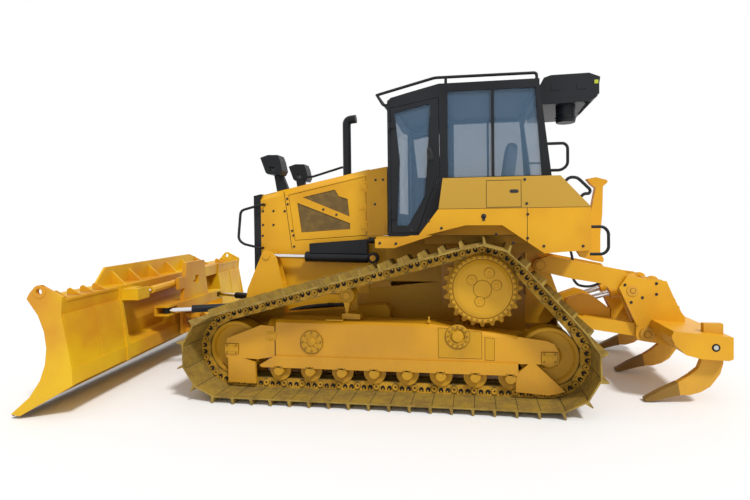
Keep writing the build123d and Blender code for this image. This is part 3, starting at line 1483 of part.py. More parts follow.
SHANK = [
    (SHANK_BACK_X, 760),
    (SHANK_BACK_X, 390),
    (-2172, 293),
    (-2089, 173),
    (-2006, 117),
    (-1909, 85),
    (-1825.5, 84),
    (-1805.5, 198),
    (-1909, 271),
    (-1986, 339),
    (-2014, 419),
    (SHANK_BACK_X + SHANK_WIDTH, 440),
    (SHANK_BACK_X + SHANK_WIDTH, 760),
]
TIP = [(-1825, 80), (-1769, 69), (-1585, 15), (-1521, 8), (-1514, 32), (-1649, 117), (-1805, 199)]


def pin_through(x, z, start, end):
    """A link pin along Y with a cap on its outer end."""
    pin = drum(x, z, LINK_PIN_R, (start, end), PIN_SIDES)
    return pin + drum(x, z, LINK_PIN_R + 14, (end - 12, end), PIN_SIDES)


def make_ripper_bracket():
    """Plates on the rear of the case, inside the links, with the links' front pins through them."""
    rear = CASE_REAR_X - SEAT_GAP
    outline = [(rear, 620), (rear, 1400), (-560, 1400), (-700, 1300), (-850, 870), (-850, 740), (-705, 620)]
    inner = PLATE_SIDES[0][0] - EAR
    body = prism_y(outline, (inner, PLATE_SIDES[0][1]))
    body += block((CASE_REAR_X - 25, rear), (inner, LINK_SIDES[1]), (FRAME_TOP_Z + 5, 1400))
    for x, z in (UPPER_FRONT, LOWER_FRONT):
        body += pin_through(x, z, inner, LINK_SIDES[1] + 15)
    cross = block((-700, rear), (0, inner + 5), (640, 720))
    return body + mirrored(body) + cross + mirrored(cross)


def make_lower_link():
    """Bent lower link of two box sides with a cross box, whose ears carry the rods' pins."""
    side = link_plate(LOWER_LINK, (LOWER_FRONT, LOWER_REAR), LINK_SIDES, LINK_BOSS_R)
    cross = prism_y(
        [(-1100, 695), (-1100, 610), (-1392, 585), (-1392, 675)],
        (-LINK_SIDES[0] - 5, LINK_SIDES[0] + 5),
    )
    link = side + mirrored(side) + cross
    slot_half = RIPPER_RAM["eye_width"] / 2 + SIDE_GAP
    for side_y in (-RIPPER_RAM_Y, RIPPER_RAM_Y):
        for sign in (-1, 1):
            y = sorted((side_y + sign * slot_half, side_y + sign * (slot_half + EAR)))
            link += prism_y(ROD_EAR, y)
    return link


def make_upper_link():
    side = link_plate(UPPER_LINK, (UPPER_FRONT, UPPER_REAR), LINK_SIDES, LINK_BOSS_R)
    return side + mirrored(side) + block((-1010, -860), (-LINK_SIDES[0] - 5, LINK_SIDES[0] + 5), (1150, 1230))


def make_ripper_beam():
    """Cross beam with its shank pockets and the uprights that carry the links' rear pins."""
    beam = prism_y(BEAM_SECTION, (-BEAM_SPAN / 2, BEAM_SPAN / 2))
    room = (PLATE_SIDES[0][1], PLATE_SIDES[1][0])
    relief = drum(*LOWER_REAR, LINK_BOSS_R + SIDE_GAP, room, RAM_SIDES, True)
    beam -= relief + mirrored(relief)
    for y in PLATE_SIDES:
        plate = prism_y(RIPPER_UPRIGHT, y)
        beam += plate + mirrored(plate)
    rib = prism_y(UPRIGHT_RIB, (PLATE_SIDES[1][1] - 2, PLATE_SIDES[1][1] + 14))
    beam += rib + mirrored(rib)
    for x, z in (UPPER_REAR, LOWER_REAR):
        pin = pin_through(x, z, PLATE_SIDES[0][0], PLATE_SIDES[1][1] + 12)
        beam += pin + mirrored(pin)
    inner = PLATE_SIDES[0][1] - 2
    x, z = RIPPER_BARREL_PIN
    beam += drum(x, z, RIPPER_RAM["pin_r"], (-inner, inner), PIN_SIDES)
    beam += block((-2010, -1900), (-inner, inner), (680, 900))
    for u in (-SHANK_SPACING, 0, SHANK_SPACING):
        half = SHANK_THICKNESS / 2 + SEAT_GAP
        pocket = (SHANK_BACK_X - SEAT_GAP, SHANK_BACK_X + SHANK_WIDTH + SEAT_GAP)
        beam -= block(pocket, (u - half, u + half), (400, 720))
    return beam


def make_shanks():
    """Three curved shanks, each up through its pocket in the beam."""
    half = SHANK_THICKNESS / 2
    pieces = [prism_y(SHANK, (u - half, u + half)) for u in (-SHANK_SPACING, 0, SHANK_SPACING)]
    return Compound([s for p in pieces for s in p.solids()])


def make_ripper_tips():
    """Worn points on the shanks' noses."""
    half = SHANK_THICKNESS / 2 + 6
    pieces = [prism_y(TIP, (u - half, u + half)) for u in (-SHANK_SPACING, 0, SHANK_SPACING)]
    return Compound([s for p in pieces for s in p.solids()])


def ripper_ends(side):
    x0, z0 = RIPPER_BARREL_PIN
    x1, z1 = RIPPER_ROD_PIN
    return (x0, side * RIPPER_RAM_Y, z0), (x1, side * RIPPER_RAM_Y, z1)


PARTS = {
    "main_frame": make_main_frame(),
    "engine_block": make_engine(),
    "track_left": make_track(1),
    "track_right": make_track(-1),
    "sprockets": make_sprockets(),
    "rollers": make_rollers(),
    "track_frames": make_track_frames(),
    "radiator_guard": make_radiator_guard(),
    "radiator_grille": make_grille(),
    "hood": make_hood(),
    "engine_door_left": make_engine_door(),
    "engine_door_right": mirrored(make_engine_door()),
    "cowl": make_cowl(),
    "exhaust_stack": make_stack(),
    "front_lamps": make_lamps(),
    "cab_frame": make_cab(),
    "cab_glass": make_cab_glass(),
    "cab_roof": make_cab_roof(),
    "roof_guard": make_roof_guard(),
    "cab_door_left": make_cab_door(),
    "cab_door_right": mirrored(make_cab_door()),
    "door_glass_left": make_door_glass(),
    "door_glass_right": mirrored(make_door_glass()),
    "cab_floor": make_platform(),
    "seat": make_seat(),
    "console": make_console(),
    "aircon_unit": make_aircon(),
    "rear_body": make_rear_body(),
    "rear_post": make_rear_post(),
    "grab_rails": make_grab_rails(),
    "lift_frame": make_lift_frame(),
    "lift_barrels": both(make_barrel(LIFT_BASE, LIFT_EYE, Y_AXIS, LIFT_RAM) + make_hose_guard()),
    "lift_rods": both(make_rod(LIFT_BASE, LIFT_EYE, Y_AXIS, LIFT_RAM)),
    "blade_mount": make_blade_mount(),
    "blade": make_blade(),
    "cutting_edge": make_cutting_edge(),
    "angle_barrel_left": make_barrel(angle_base(1), angle_eye(1), Z_AXIS, ANGLE_RAM),
    "angle_barrel_right": make_barrel(angle_base(-1), angle_eye(-1), Z_AXIS, ANGLE_RAM),
    "angle_rod_left": make_rod(angle_base(1), angle_eye(1), Z_AXIS, ANGLE_RAM),
    "angle_rod_right": make_rod(angle_base(-1), angle_eye(-1), Z_AXIS, ANGLE_RAM),
    "tilt_barrel": make_barrel(on_mount(TILT_BASE), on_blade(TILT_EYE), TILT_AXIS, TILT_RAM),
    "tilt_rod": make_rod(on_mount(TILT_BASE), on_blade(TILT_EYE), TILT_AXIS, TILT_RAM),
    "ripper_bracket": make_ripper_bracket(),
    "ripper_lower_link": make_lower_link(),
    "ripper_upper_link": make_upper_link(),
    "ripper_beam": make_ripper_beam(),
    "ripper_shanks": make_shanks(),
    "ripper_tips": make_ripper_tips(),
    "ripper_barrels": both(make_barrel(*ripper_ends(1), Y_AXIS, RIPPER_RAM)),
    "ripper_rods": both(make_rod(*ripper_ends(1), Y_AXIS, RIPPER_RAM)),
}

if __name__ == "__main__":
    os.makedirs("parts", exist_ok=True)
    for name, solid in PARTS.items():
        export_step(Pos(FRAME_SHIFT, 0, 0) * solid, f"parts/{name}.step")
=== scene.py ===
"""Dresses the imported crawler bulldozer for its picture: paints, glass, chain links, fasteners and light."""
import json
import math

import bmesh
import bpy
from mathutils import Matrix, Vector


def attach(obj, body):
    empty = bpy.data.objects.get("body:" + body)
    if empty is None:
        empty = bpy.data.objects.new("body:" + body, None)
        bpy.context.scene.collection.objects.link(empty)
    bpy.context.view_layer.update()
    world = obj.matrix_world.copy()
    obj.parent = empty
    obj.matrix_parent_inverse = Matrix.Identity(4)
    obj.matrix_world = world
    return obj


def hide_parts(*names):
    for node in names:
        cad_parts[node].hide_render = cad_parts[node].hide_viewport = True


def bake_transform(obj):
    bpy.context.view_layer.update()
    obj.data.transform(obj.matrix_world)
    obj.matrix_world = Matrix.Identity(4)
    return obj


bl_info = {
    "name": "Crawler bulldozer dressing",
    "version": (1, 0, 0),
    "blender": (4, 5, 0),
    "location": "3D View > Sidebar > Bulldozer",
    "description": "Paints, small parts and stage for the packed crawler bulldozer",
    "category": "Object",
}

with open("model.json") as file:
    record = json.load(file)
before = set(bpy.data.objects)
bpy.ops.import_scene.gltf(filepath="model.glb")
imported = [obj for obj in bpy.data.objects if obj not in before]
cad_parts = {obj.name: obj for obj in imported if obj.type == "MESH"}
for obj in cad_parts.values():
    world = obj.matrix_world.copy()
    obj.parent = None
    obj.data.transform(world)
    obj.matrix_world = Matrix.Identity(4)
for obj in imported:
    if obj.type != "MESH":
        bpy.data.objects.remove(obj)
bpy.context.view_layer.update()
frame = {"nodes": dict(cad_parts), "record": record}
NODES = frame["nodes"]
LEFT = (0, 1, 0)
SIDES = ((1, "left"), (-1, "right"))
SHARP_ANGLE = math.radians(35)

# Track layout: the first in metres, the others in millimetres from the sprocket's axle, the middle and the ground
AXLE_BEHIND = 1.183
FRONT_IDLER_X, REAR_IDLER_X, IDLER_Z = 2510, -608, 460
SPROCKET_Z = 1097
CARRIER_X, CARRIER_Z = 1333, 1014.0
TRACK_Y = 1080
ROLLER_XS = [2020 - i * 2270 / 7 for i in range(8)]
FRONT_COVER, REAR_COVER = (1673, 557), (236, 647)


# Node trees

class Wire:
    """A socket of a node tree that takes part in ordinary arithmetic."""

    def __init__(self, graph, socket):
        self.graph, self.socket = graph, socket

    def _math(self, operation, *values):
        return self.graph.node("ShaderNodeMath", {"operation": operation}, dict(enumerate(values)))

    def __add__(self, other):
        return self._math("ADD", self, other)

    def __sub__(self, other):
        return self._math("SUBTRACT", self, other)

    def __mul__(self, other):
        return self._math("MULTIPLY", self, other)

    def __rsub__(self, other):
        return self._math("SUBTRACT", other, self)

    def above(self, low, high):
        """0 below low, 1 above high, and a smooth rise between them."""
        settings = {"interpolation_type": "SMOOTHSTEP"}
        return self.graph.node("ShaderNodeMapRange", settings, {"Value": self, "From Min": low, "From Max": high})


class Graph:
    """A node tree, with one method that adds any node to it."""

    def __init__(self, tree):
        self.tree = tree

    def _fill(self, node, inputs):
        for key, value in inputs.items():
            for each in value if isinstance(value, list) else [value]:
                if isinstance(each, Wire):
                    self.tree.links.new(each.socket, node.inputs[key])
                else:
                    node.inputs[key].default_value = each

    def node(self, kind, settings=(), inputs=(), out=0):
        """Adds one node, gives it its settings and then its inputs, and returns the named output."""
        node = self.tree.nodes.new(kind)
        for key, value in dict(settings).items():
            if key == "items":
                for label, form in value.items():
                    node.capture_items.new(form, label)
            else:
                setattr(node, key, value)
        self._fill(node, dict(inputs))
        return Wire(self, node.outputs[out])


class Paint(Graph):
    """One finish: a Principled shader and the nodes that vary it over the surface."""

    def __init__(self, name, **sockets):
        self.material = bpy.data.materials.new(name)
        self.material.use_nodes = True
        super().__init__(self.material.node_tree)
        self.shader = self.tree.nodes["Principled BSDF"]
        self.place = self.node("ShaderNodeTexCoord", out="Object")
        self.set(**sockets)

    def set(self, **sockets):
        """Sets the shader's sockets from values or wires; an underscore stands for a space."""
        self._fill(self.shader, {key.replace("_", " "): value for key, value in sockets.items()})

    def noise(self, scale, detail=2.0, roughness=0.5):
        """Even cloudy noise from 0 to 1; scale is in waves for each metre."""
        return self.node("ShaderNodeTexNoise", {}, {
            "Vector": self.place, "Scale": scale, "Detail": detail, "Roughness": roughness})

    def mix(self, factor, first, second):
        """A colour between first and second."""
        return self.node("ShaderNodeMix", {"data_type": "RGBA"}, {0: factor, 6: first, 7: second}, out=2)

    def bump(self, height, distance):
        """A normal that lifts the surface by height times distance, in metres."""
        return self.node("ShaderNodeBump", {}, {"Height": height, "Distance": distance})

    def axis(self, name):
        """X, Y or Z of the place on the object, in metres."""
        return self.node("ShaderNodeSeparateXYZ", {}, {"Vector": self.place}, out=name)


class Recipe(Graph):
    """A geometry tree with named inputs, run on a mesh to give a plain mesh."""

    def __init__(self, name, **sockets):
        super().__init__(bpy.data.node_groups.new(name, "GeometryNodeTree"))
        face = self.tree.interface
        face.new_socket("Geometry", in_out="INPUT", socket_type="NodeSocketGeometry")
        for label, kind in sockets.items():
            face.new_socket(label.replace("_", " "), in_out="INPUT", socket_type="NodeSocket" + kind)
        face.new_socket("Finish", in_out="INPUT", socket_type="NodeSocketMaterial")
        face.new_socket("Geometry", in_out="OUTPUT", socket_type="NodeSocketGeometry")
        self.given = self.tree.nodes.new("NodeGroupInput")
        self.end = self.tree.nodes.new("NodeGroupOutput")

    def __getitem__(self, label):
        return Wire(self, self.given.outputs[label])

    def close(self, geometry):
        """Ends the tree with real copies and their finish."""
        real = self.node("GeometryNodeRealizeInstances", {}, {"Geometry": geometry})
        done = self.node("GeometryNodeSetMaterial", {}, {"Geometry": real, "Material": self["Finish"]})
        self.tree.links.new(done.socket, self.end.inputs[0])
        return self

    def run(self, mesh, finish, **values):
        """The plain mesh that the tree grows from a mesh of points or edges."""
        seed = bpy.data.objects.new("seed", mesh)
        bpy.context.scene.collection.objects.link(seed)
        grow = seed.modifiers.new("grow", "NODES")
        grow.node_group = self.tree
        values["Finish"] = bpy.data.materials[finish]
        values = {label.replace("_", " "): value for label, value in values.items()}
        for item in self.tree.interface.items_tree:
            if item.in_out == "INPUT" and item.name in values:
                grow[item.identifier] = values[item.name]
        seed.update_tag()
        bpy.context.view_layer.update()
        grown = bpy.data.meshes.new_from_object(seed.evaluated_get(bpy.context.evaluated_depsgraph_get()))
        bpy.data.objects.remove(seed)
        return grown


def rgba(colour):
    """Four numbers from a colour of three."""
    return (*tuple(colour)[:3], 1.0)


# Meshes

def at(x, y, z):
    """A place from millimetres ahead of the sprocket's axle, left of the middle and above the ground."""
    return Vector((x / 1000 - AXLE_BEHIND, y / 1000, z / 1000))


def rounded(points, radius, steps=5):
    """A path of places with its corners rounded."""
    path = [points[0]]
    for a, b, c in zip(points, points[1:], points[2:]):
        reach = min(radius, (a - b).length * 0.48, (c - b).length * 0.48)
        start, end = b + (a - b).normalized() * reach, b + (c - b).normalized() * reach
        shares = [i / steps for i in range(steps + 1)]
        path += [start.lerp(b, share).lerp(b.lerp(end, share), share) for share in shares]
    return path + [points[-1]]


def bent(points, radius, steps=5):
    """A path with rounded corners through places in millimetres."""
    return rounded([at(*point) for point in points], radius, steps)


def oblong(x, z, half_long, half_tall):
    """The corners of an upright rectangle about its middle, in millimetres."""
    return [(x - half_long, z - half_tall), (x + half_long, z - half_tall),
            (x + half_long, z + half_tall), (x - half_long, z + half_tall)]


# The ball that the blade turns on, and the angle and tilt that the blade has in the photograph
BALL = at(3685, 0, 470)
BLADE_ANGLE, BLADE_TILT = math.radians(5.8), math.radians(-0.9)


def on_mount(x, y, z):
    """A place on the blade's mount, turned to the blade's angle."""
    place = at(x, y, z) - BALL
    place.rotate(Matrix.Rotation(BLADE_ANGLE, 3, "Z"))
    return place + BALL


def on_blade(shape):
    """Turns a shape drawn square to the machine to the blade's own angle and tilt."""
    return shape.turned_about(BALL, "X", BLADE_TILT).turned_about(BALL, "Z", BLADE_ANGLE)


def piece(name, mesh, finish, body, replaces=(), bevel=0.0):
    """Makes a mesh a piece that rides a body, or none yet, and may stand for CAD nodes."""
    mesh.name = name
    mesh.materials.clear()
    mesh.materials.append(bpy.data.materials[finish])
    mesh.shade_smooth()
    mesh.set_sharp_from_angle(angle=SHARP_ANGLE)
    made = bpy.data.objects.new(name, mesh)
    bpy.context.scene.collection.objects.link(made)
    if bevel:
        edge = made.modifiers.new("worn_edges", "BEVEL")
        edge.width, edge.segments, edge.limit_method, edge.harden_normals = bevel, 2, "ANGLE", True
    if body:
        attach(made, body)
    if replaces:
        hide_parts(*replaces)
    return made


class Shape:
    """A mesh grown from turned, cut, swept and boxed forms."""

    def __init__(self):
        self.bm = bmesh.new()

    def skin(self, rings, closed=False):
        """Faces between one ring of places and the next, with the ends filled or joined."""
        rings = [[self.bm.verts.new(place) for place in ring] for ring in rings]
        for low, high in zip(rings, rings[1:] + rings[:1] if closed else rings[1:]):
            count = max(len(low), len(high))
            for i in range(count):
                corners = list(dict.fromkeys((
                    low[i % len(low)], low[(i + 1) % len(low)], high[(i + 1) % len(high)], high[i % len(high)])))
                if len(corners) > 2:
                    self.bm.faces.new(corners)
        if not closed:
            for ring in (rings[0], rings[-1]):
                if len(ring) > 2:
                    self.bm.faces.new(ring)
        return self

    def turned(self, centre, axis, profile, sides=32, closed=False):
        """A form turned about an axis; profile holds millimetres along the axis and out from it."""
        axis = Vector(axis).normalized()
        across = axis.orthogonal().normalized()
        up = axis.cross(across)
        turns = [i * math.tau / sides for i in range(sides)]
        spokes = [across * math.cos(turn) + up * math.sin(turn) for turn in turns]
        rings = []
        for along, out in profile:
            middle = centre + axis * (along / 1000)
            rings.append([middle + spoke * (out / 1000) for spoke in spokes] if out else [middle])
        return self.skin(rings, closed)

    def groove_shade_band(self, place, radius, low, high, sides):
        """A band 3 mm wide about a place on the left side, from low to high along the y axis, for painted shade in a
        groove.
        """
        band = [(low, radius), (high, radius), (high, radius + 3), (low, radius + 3)]
        return self.turned(at(*place), LEFT, band, sides, closed=True)

    def slab(self, outline, depths, place):
        """An outline laid at each depth, where place(a, b, depth) gives its points."""
        return self.skin([[place(a, b, depth) for a, b in outline] for depth in depths])

    def plate(self, outline, low, high, thick="y"):
        """A plate cut to an outline in millimetres and thick along one axis."""
        lay = {"x": lambda a, b, d: at(d, a, b), "y": lambda a, b, d: at(a, d, b), "z": lambda a, b, d: at(a, b, d)}
        return self.slab(outline, (low, high), lay[thick])

    def box(self, x, y, z):
        """A box from pairs of millimetres."""
        return self.plate([(x[0], z[0]), (x[1], z[0]), (x[1], z[1]), (x[0], z[1])], *y)

    def tube(self, points, radius, sides=12):
        """A round bar along places in metres, mitred where it bends."""
        steps = [(b - a).normalized() for a, b in zip(points, points[1:])]
        across = steps[0].orthogonal().normalized()
        rings = []
        for i, point in enumerate(points):
            before, after = steps[max(i - 1, 0)], steps[min(i, len(steps) - 1)]
            mitre = (before + after).normalized()
            up = before.cross(across)
            ring = []
            for k in range(sides):
                turn = k * math.tau / sides
                out = (across * math.cos(turn) + up * math.sin(turn)) * radius
                ring.append(point + out - before * (out.dot(mitre) / before.dot(mitre)))
            rings.append(ring)
            across = before.rotation_difference(after) @ across
        return self.skin(rings)

    def mirrored(self):
        """Adds the same forms on the other side of the machine."""
        copies = bmesh.ops.duplicate(self.bm, geom=self.bm.verts[:] + self.bm.edges[:] + self.bm.faces[:])["geom"]
        for part in copies:
            if isinstance(part, bmesh.types.BMVert):
                part.co.y = -part.co.y
        return self

    def turned_about(self, centre, axis, angle):
        """Turns everything made so far about an axis through a place."""
        bmesh.ops.rotate(self.bm, verts=self.bm.verts[:], cent=centre, matrix=Matrix.Rotation(angle, 3, axis))
        return self

    def mesh(self):
        """The finished mesh, with its faces turned outwards."""
        bmesh.ops.recalc_face_normals(self.bm, faces=self.bm.faces[:])
        mesh = bpy.data.meshes.new("form")
        self.bm.to_mesh(mesh)
        self.bm.free()
        return mesh

    def done(self, name, finish, body="tractor", replaces=(), bevel=0.0):
        """Makes the forms one piece, which rides the tractor unless another body is named."""
        return piece(name, self.mesh(), finish, body, replaces, bevel)


# Finishes

def painted_steel(name, colour, shade, dust, roughness=0.38, dust_top=1.2, shine=0.3, upper=None):
    """Sprayed paint that has faded in clouds, with dust towards the ground and maybe an upper panel painted darker as
    painted shade.
    """
    paint = Paint(name, Specular_IOR_Level=shine)
    clouds = paint.noise(1.3, 3.0)
    grain = paint.noise(45.0, 4.0, 0.65)
    low = 1 - paint.axis("Z").above(0.1, dust_top)
    dirt = (low * 0.5 + clouds * 0.55).above(0.5, 1.1) * grain.above(0.25, 0.7) * 0.7
    body = paint.mix(clouds.above(0.38, 0.68), rgba(colour), rgba(shade))
    if upper:
        # Painted shade: above the given height the colour turns to a darker tone, for the shade on a panel that leans
        # inward.
        height, upper_shade = upper
        body = paint.mix(paint.axis("Z").above(height - 0.002, height + 0.002), body, rgba(upper_shade))
    paint.set(Base_Color=paint.mix(dirt, body, rgba(dust)),
              Roughness=dirt * 0.35 + (grain * 0.08 + roughness),
              Normal=paint.bump(grain, 0.0006))
    return paint.material


def rolled_steel(name, colour, rust, roughness=0.55, metallic=0.35):
    """Bare or scraped steel with rust in its hollows."""
    paint = Paint(name)
    patches = paint.noise(7.0, 5.0, 0.6)
    grain = paint.noise(60.0, 3.0, 0.7)
    worn = (patches * 0.7 + grain * 0.4).above(0.42, 0.66)
    paint.set(Base_Color=paint.mix(worn, rgba(rust), rgba(colour)), Metallic=worn * metallic,
              Roughness=1 - worn * (1 - roughness), Normal=paint.bump(grain, 0.0015))
    return paint.material


def clear_glass(name, tint):
    """Thin tinted cab glass."""
    paint = Paint(name, Base_Color=rgba(tint), Alpha=0.38, IOR=1.45)
    smear = paint.noise(3.0, 3.0)
    paint.set(Roughness=smear * 0.06 + 0.02)
    return paint.material


def chromed(name, colour):
    """Polished cylinder rod with faint draw marks."""
    paint = Paint(name, Base_Color=rgba(colour), Metallic=1.0)
    marks = paint.noise(90.0, 2.0)
    paint.set(Roughness=marks * 0.08 + 0.12)
    return paint.material


def seat_weave(name, colour, shade):
    """Woven seat cloth with a fine diagonal thread."""
    paint = Paint(name, Roughness=0.9)
    thread = paint.node("ShaderNodeTexWave", {"bands_direction": "DIAGONAL"}, {
        "Vector": paint.place, "Scale": 90.0, "Distortion": 1.2}, out="Fac")
    cloud = paint.noise(5.0, 3.0)
    paint.set(Base_Color=paint.mix(cloud * 0.5 + thread * 0.4, rgba(shade), rgba(colour)),
              Normal=paint.bump(thread, 0.0015))
    return paint.material


def screen_mesh(name):
    """Brown woven screen, darker and lighter in cloudy patches, with painted shade in its holes."""
    paint = Paint(name, Roughness=0.6)
    patch = paint.noise(9.0, 2.0, 0.4)
    holes = paint.node("ShaderNodeTexVoronoi", {}, {"Vector": paint.place, "Scale": 140.0}, out="Distance")
    depth = paint.mix(patch.above(0.4, 0.7), rgba((0.17, 0.095, 0.010)), rgba((0.26, 0.155, 0.022)))
    # Painted shade: the holes are mixed towards near black.
    paint.set(Base_Color=paint.mix(holes.above(0.25, 0.55) * 0.5, depth, rgba((0.05, 0.03, 0.01))),
              Normal=paint.bump(holes, 0.002))
    return paint.material


def lamp_glass(name):
    """Ribbed lamp lens over a bright reflector."""
    paint = Paint(name, Metallic=0.4)
    ribs = paint.node("ShaderNodeTexWave", {"bands_direction": "Y"}, {
        "Vector": paint.place, "Scale": 30.0}, out="Fac")
    paint.set(Base_Color=paint.mix(ribs, rgba((0.35, 0.37, 0.4)), rgba((0.75, 0.78, 0.8))),
              Roughness=ribs * 0.1 + 0.08, Normal=paint.bump(ribs, 0.001))
    return paint.material


# Settings

class FinishSettings(bpy.types.PropertyGroup):
    """Colours of the machine."""
    yellow: bpy.props.FloatVectorProperty(
        name="Machine yellow", description="Sunlit colour of the painted steel", subtype="COLOR",
        default=(0.74, 0.38, 0.012), min=0, max=1)
    amber: bpy.props.FloatVectorProperty(
        name="Aged yellow", description="Colour of the paint where it has faded unevenly", subtype="COLOR",
        default=(0.64, 0.30, 0.010), min=0, max=1)
    dust: bpy.props.FloatVectorProperty(
        name="Dust", description="Colour of the dry soil on low parts", subtype="COLOR",
        default=(0.34, 0.21, 0.05), min=0, max=1)
    black: bpy.props.FloatVectorProperty(
        name="Black paint", description="Colour of the cab frame and guards", subtype="COLOR",
        default=(0.008, 0.009, 0.011), min=0, max=1)


class ChainSettings(bpy.types.PropertyGroup):
    """Links of the chains."""
    links: bpy.props.IntProperty(name="Links", description="Links in each chain", default=46, min=8)
    plate: bpy.props.FloatProperty(
        name="Side plate", description="How far a link's side plate stands out of its rail",
        default=0.0035, unit="LENGTH")


class StageSettings(bpy.types.PropertyGroup):
    """Floor, lamps and camera."""
    floor: bpy.props.FloatVectorProperty(
        name="Floor", description="Colour of the floor", subtype="COLOR", default=(0.86, 0.86, 0.86), min=0, max=1)
    floor_size: bpy.props.FloatProperty(
        name="Floor size", description="Side of the floor", default=120.0, unit="LENGTH")
    sun: bpy.props.FloatProperty(name="Sun", description="Strength of the key lamp", default=2.5)
    sky: bpy.props.FloatProperty(name="Sky", description="Strength of the even light", default=0.62)


# Operators

def dress(material, *names):
    """Gives a CAD node's slots one finish."""
    for name in names:
        slots = NODES[name].data.materials
        for index in range(len(slots)):
            slots[index] = material


class BULLDOZER_OT_finishes(bpy.types.Operator):
    """Paint every CAD node"""
    bl_idname = "bulldozer.finishes"
    bl_label = "Paint the CAD nodes"

    def execute(self, context):
        look = context.scene.bulldozer_finish
        by_slot = {
            "yellow_paint": painted_steel("machine_yellow", look.yellow, look.amber, look.dust),
            "black_paint": painted_steel("cab_black", look.black, (0.014, 0.015, 0.018), (0.06, 0.05, 0.03),
                                         dust_top=0.9, shine=0.22),
            "track_steel": rolled_steel("track_ochre", (0.33, 0.215, 0.03), (0.19, 0.115, 0.018), metallic=0.1),
            "worn_steel": rolled_steel("worn_edge", (0.16, 0.09, 0.035), (0.07, 0.035, 0.012)),
            "chrome": chromed("chrome_rod", (0.72, 0.72, 0.74)),
            "glass": clear_glass("cab_glass_tint", (0.09, 0.17, 0.27)),
            "seat_cloth": seat_weave("seat_cloth", (0.20, 0.25, 0.33), (0.13, 0.17, 0.24)),
            "cab_plastic": painted_steel("cab_plastic", (0.05, 0.05, 0.055), (0.04, 0.04, 0.045), (0.06, 0.06, 0.06)),
        }
        for name, colour, shade, dust, roughness, settings in (
            ("black_bolt", (0.02, 0.02, 0.021), (0.03, 0.03, 0.03), (0.08, 0.06, 0.04), 0.35, {}),
            ("deep_shadow", (0.012, 0.010, 0.008), (0.02, 0.016, 0.01), (0.03, 0.02, 0.01), 0.8, {}),
            ("gear_steel", (0.56, 0.29, 0.008), (0.44, 0.22, 0.008), look.dust, 0.45, {}),
            ("drive_yellow", (0.64, 0.34, 0.012), (0.56, 0.28, 0.010), look.dust, 0.36, {}),
            ("frame_yellow", (0.62, 0.30, 0.006), (0.52, 0.24, 0.006), look.dust, 0.34, {"shine": 0.4}),
            ("blade_orange", (0.72, 0.43, 0.008), (0.58, 0.25, 0.012), (0.30, 0.15, 0.03), 0.4, {"dust_top": 0.7}),
            ("ripper_yellow", (0.66, 0.34, 0.03), (0.50, 0.24, 0.02), (0.30, 0.17, 0.05), 0.5, {"dust_top": 0.6}),
            # fender_yellow's upper panel, above 1.862 m, is painted darker as painted shade.
            ("fender_yellow", look.yellow, look.amber, look.dust, 0.38, {"upper": (1.862, (0.50, 0.29, 0.035))}),
            ("hood_amber", (0.68, 0.34, 0.012), (0.54, 0.25, 0.010), look.dust, 0.38, {}),
            ("bolt_ochre", (0.34, 0.17, 0.008), (0.26, 0.13, 0.008), look.dust, 0.5, {}),
            ("groove_shade", (0.13, 0.065, 0.005), (0.09, 0.045, 0.004), (0.1, 0.06, 0.02), 0.7, {}),
            ("tooth_brown", (0.26, 0.14, 0.02), (0.16, 0.08, 0.012), (0.2, 0.12, 0.04), 0.55, {"dust_top": 0.5}),
            ("fitting_zinc", (0.55, 0.55, 0.52), (0.42, 0.42, 0.40), (0.4, 0.35, 0.25), 0.25, {"shine": 0.6}),
            ("reflector", (0.55, 0.60, 0.05), (0.45, 0.5, 0.04), (0.5, 0.5, 0.1), 0.3, {}),
        ):
            painted_steel(name, colour, shade, dust, roughness, **settings)
        rolled_steel("chain_steel", (0.62, 0.34, 0.02), (0.34, 0.18, 0.012), metallic=0.1)
        screen_mesh("screen_mesh")
        lamp_glass("lamp_glass")
        for part in frame["record"]["subparts"]:
            dress(by_slot[part["material_slot"]], part["node"])
        for finish, names in (
            ("frame_yellow", ("track_frames", "main_frame")), ("fender_yellow", ("rear_body",)),
            ("hood_amber", ("cowl",)), ("blade_orange", ("blade", "blade_mount")),
            ("ripper_yellow", ("ripper_shanks",)), ("tooth_brown", ("ripper_tips",)),
        ):
            dress(bpy.data.materials[finish], *names)
        return {"FINISHED"}


def chain_line(first=52, steps=40):
    """The chain's pin line in millimetres, from the first pin round the idlers and the sprocket."""
    wheels = [(Vector((FRONT_IDLER_X, IDLER_Z)), 342), (Vector((0, SPROCKET_Z)), 367),
              (Vector((REAR_IDLER_X, IDLER_Z)), 342)]
    headings = []
    for (c0, r0), (c1, r1) in zip(wheels, wheels[1:] + wheels[:1]):
        reach = c1 - c0
        headings.append(math.atan2(reach.y, reach.x) - math.acos((r0 - r1) / reach.length))
    line, start = [], first / wheels[0][1]
    for i, (centre, radius) in enumerate(wheels):
        sweep = (headings[i] - headings[i - 1]) % math.tau
        from_turn = start if i == 0 else 0
        for step in range(steps + 1):
            turn = headings[i - 1] + from_turn + (sweep - from_turn) * step / steps
            line.append(centre + radius * Vector((math.cos(turn), math.sin(turn))))
    for step in range(4):
        turn = headings[-1] + start * step / 4
        line.append(wheels[0][0] + wheels[0][1] * Vector((math.cos(turn), math.sin(turn))))
    return line


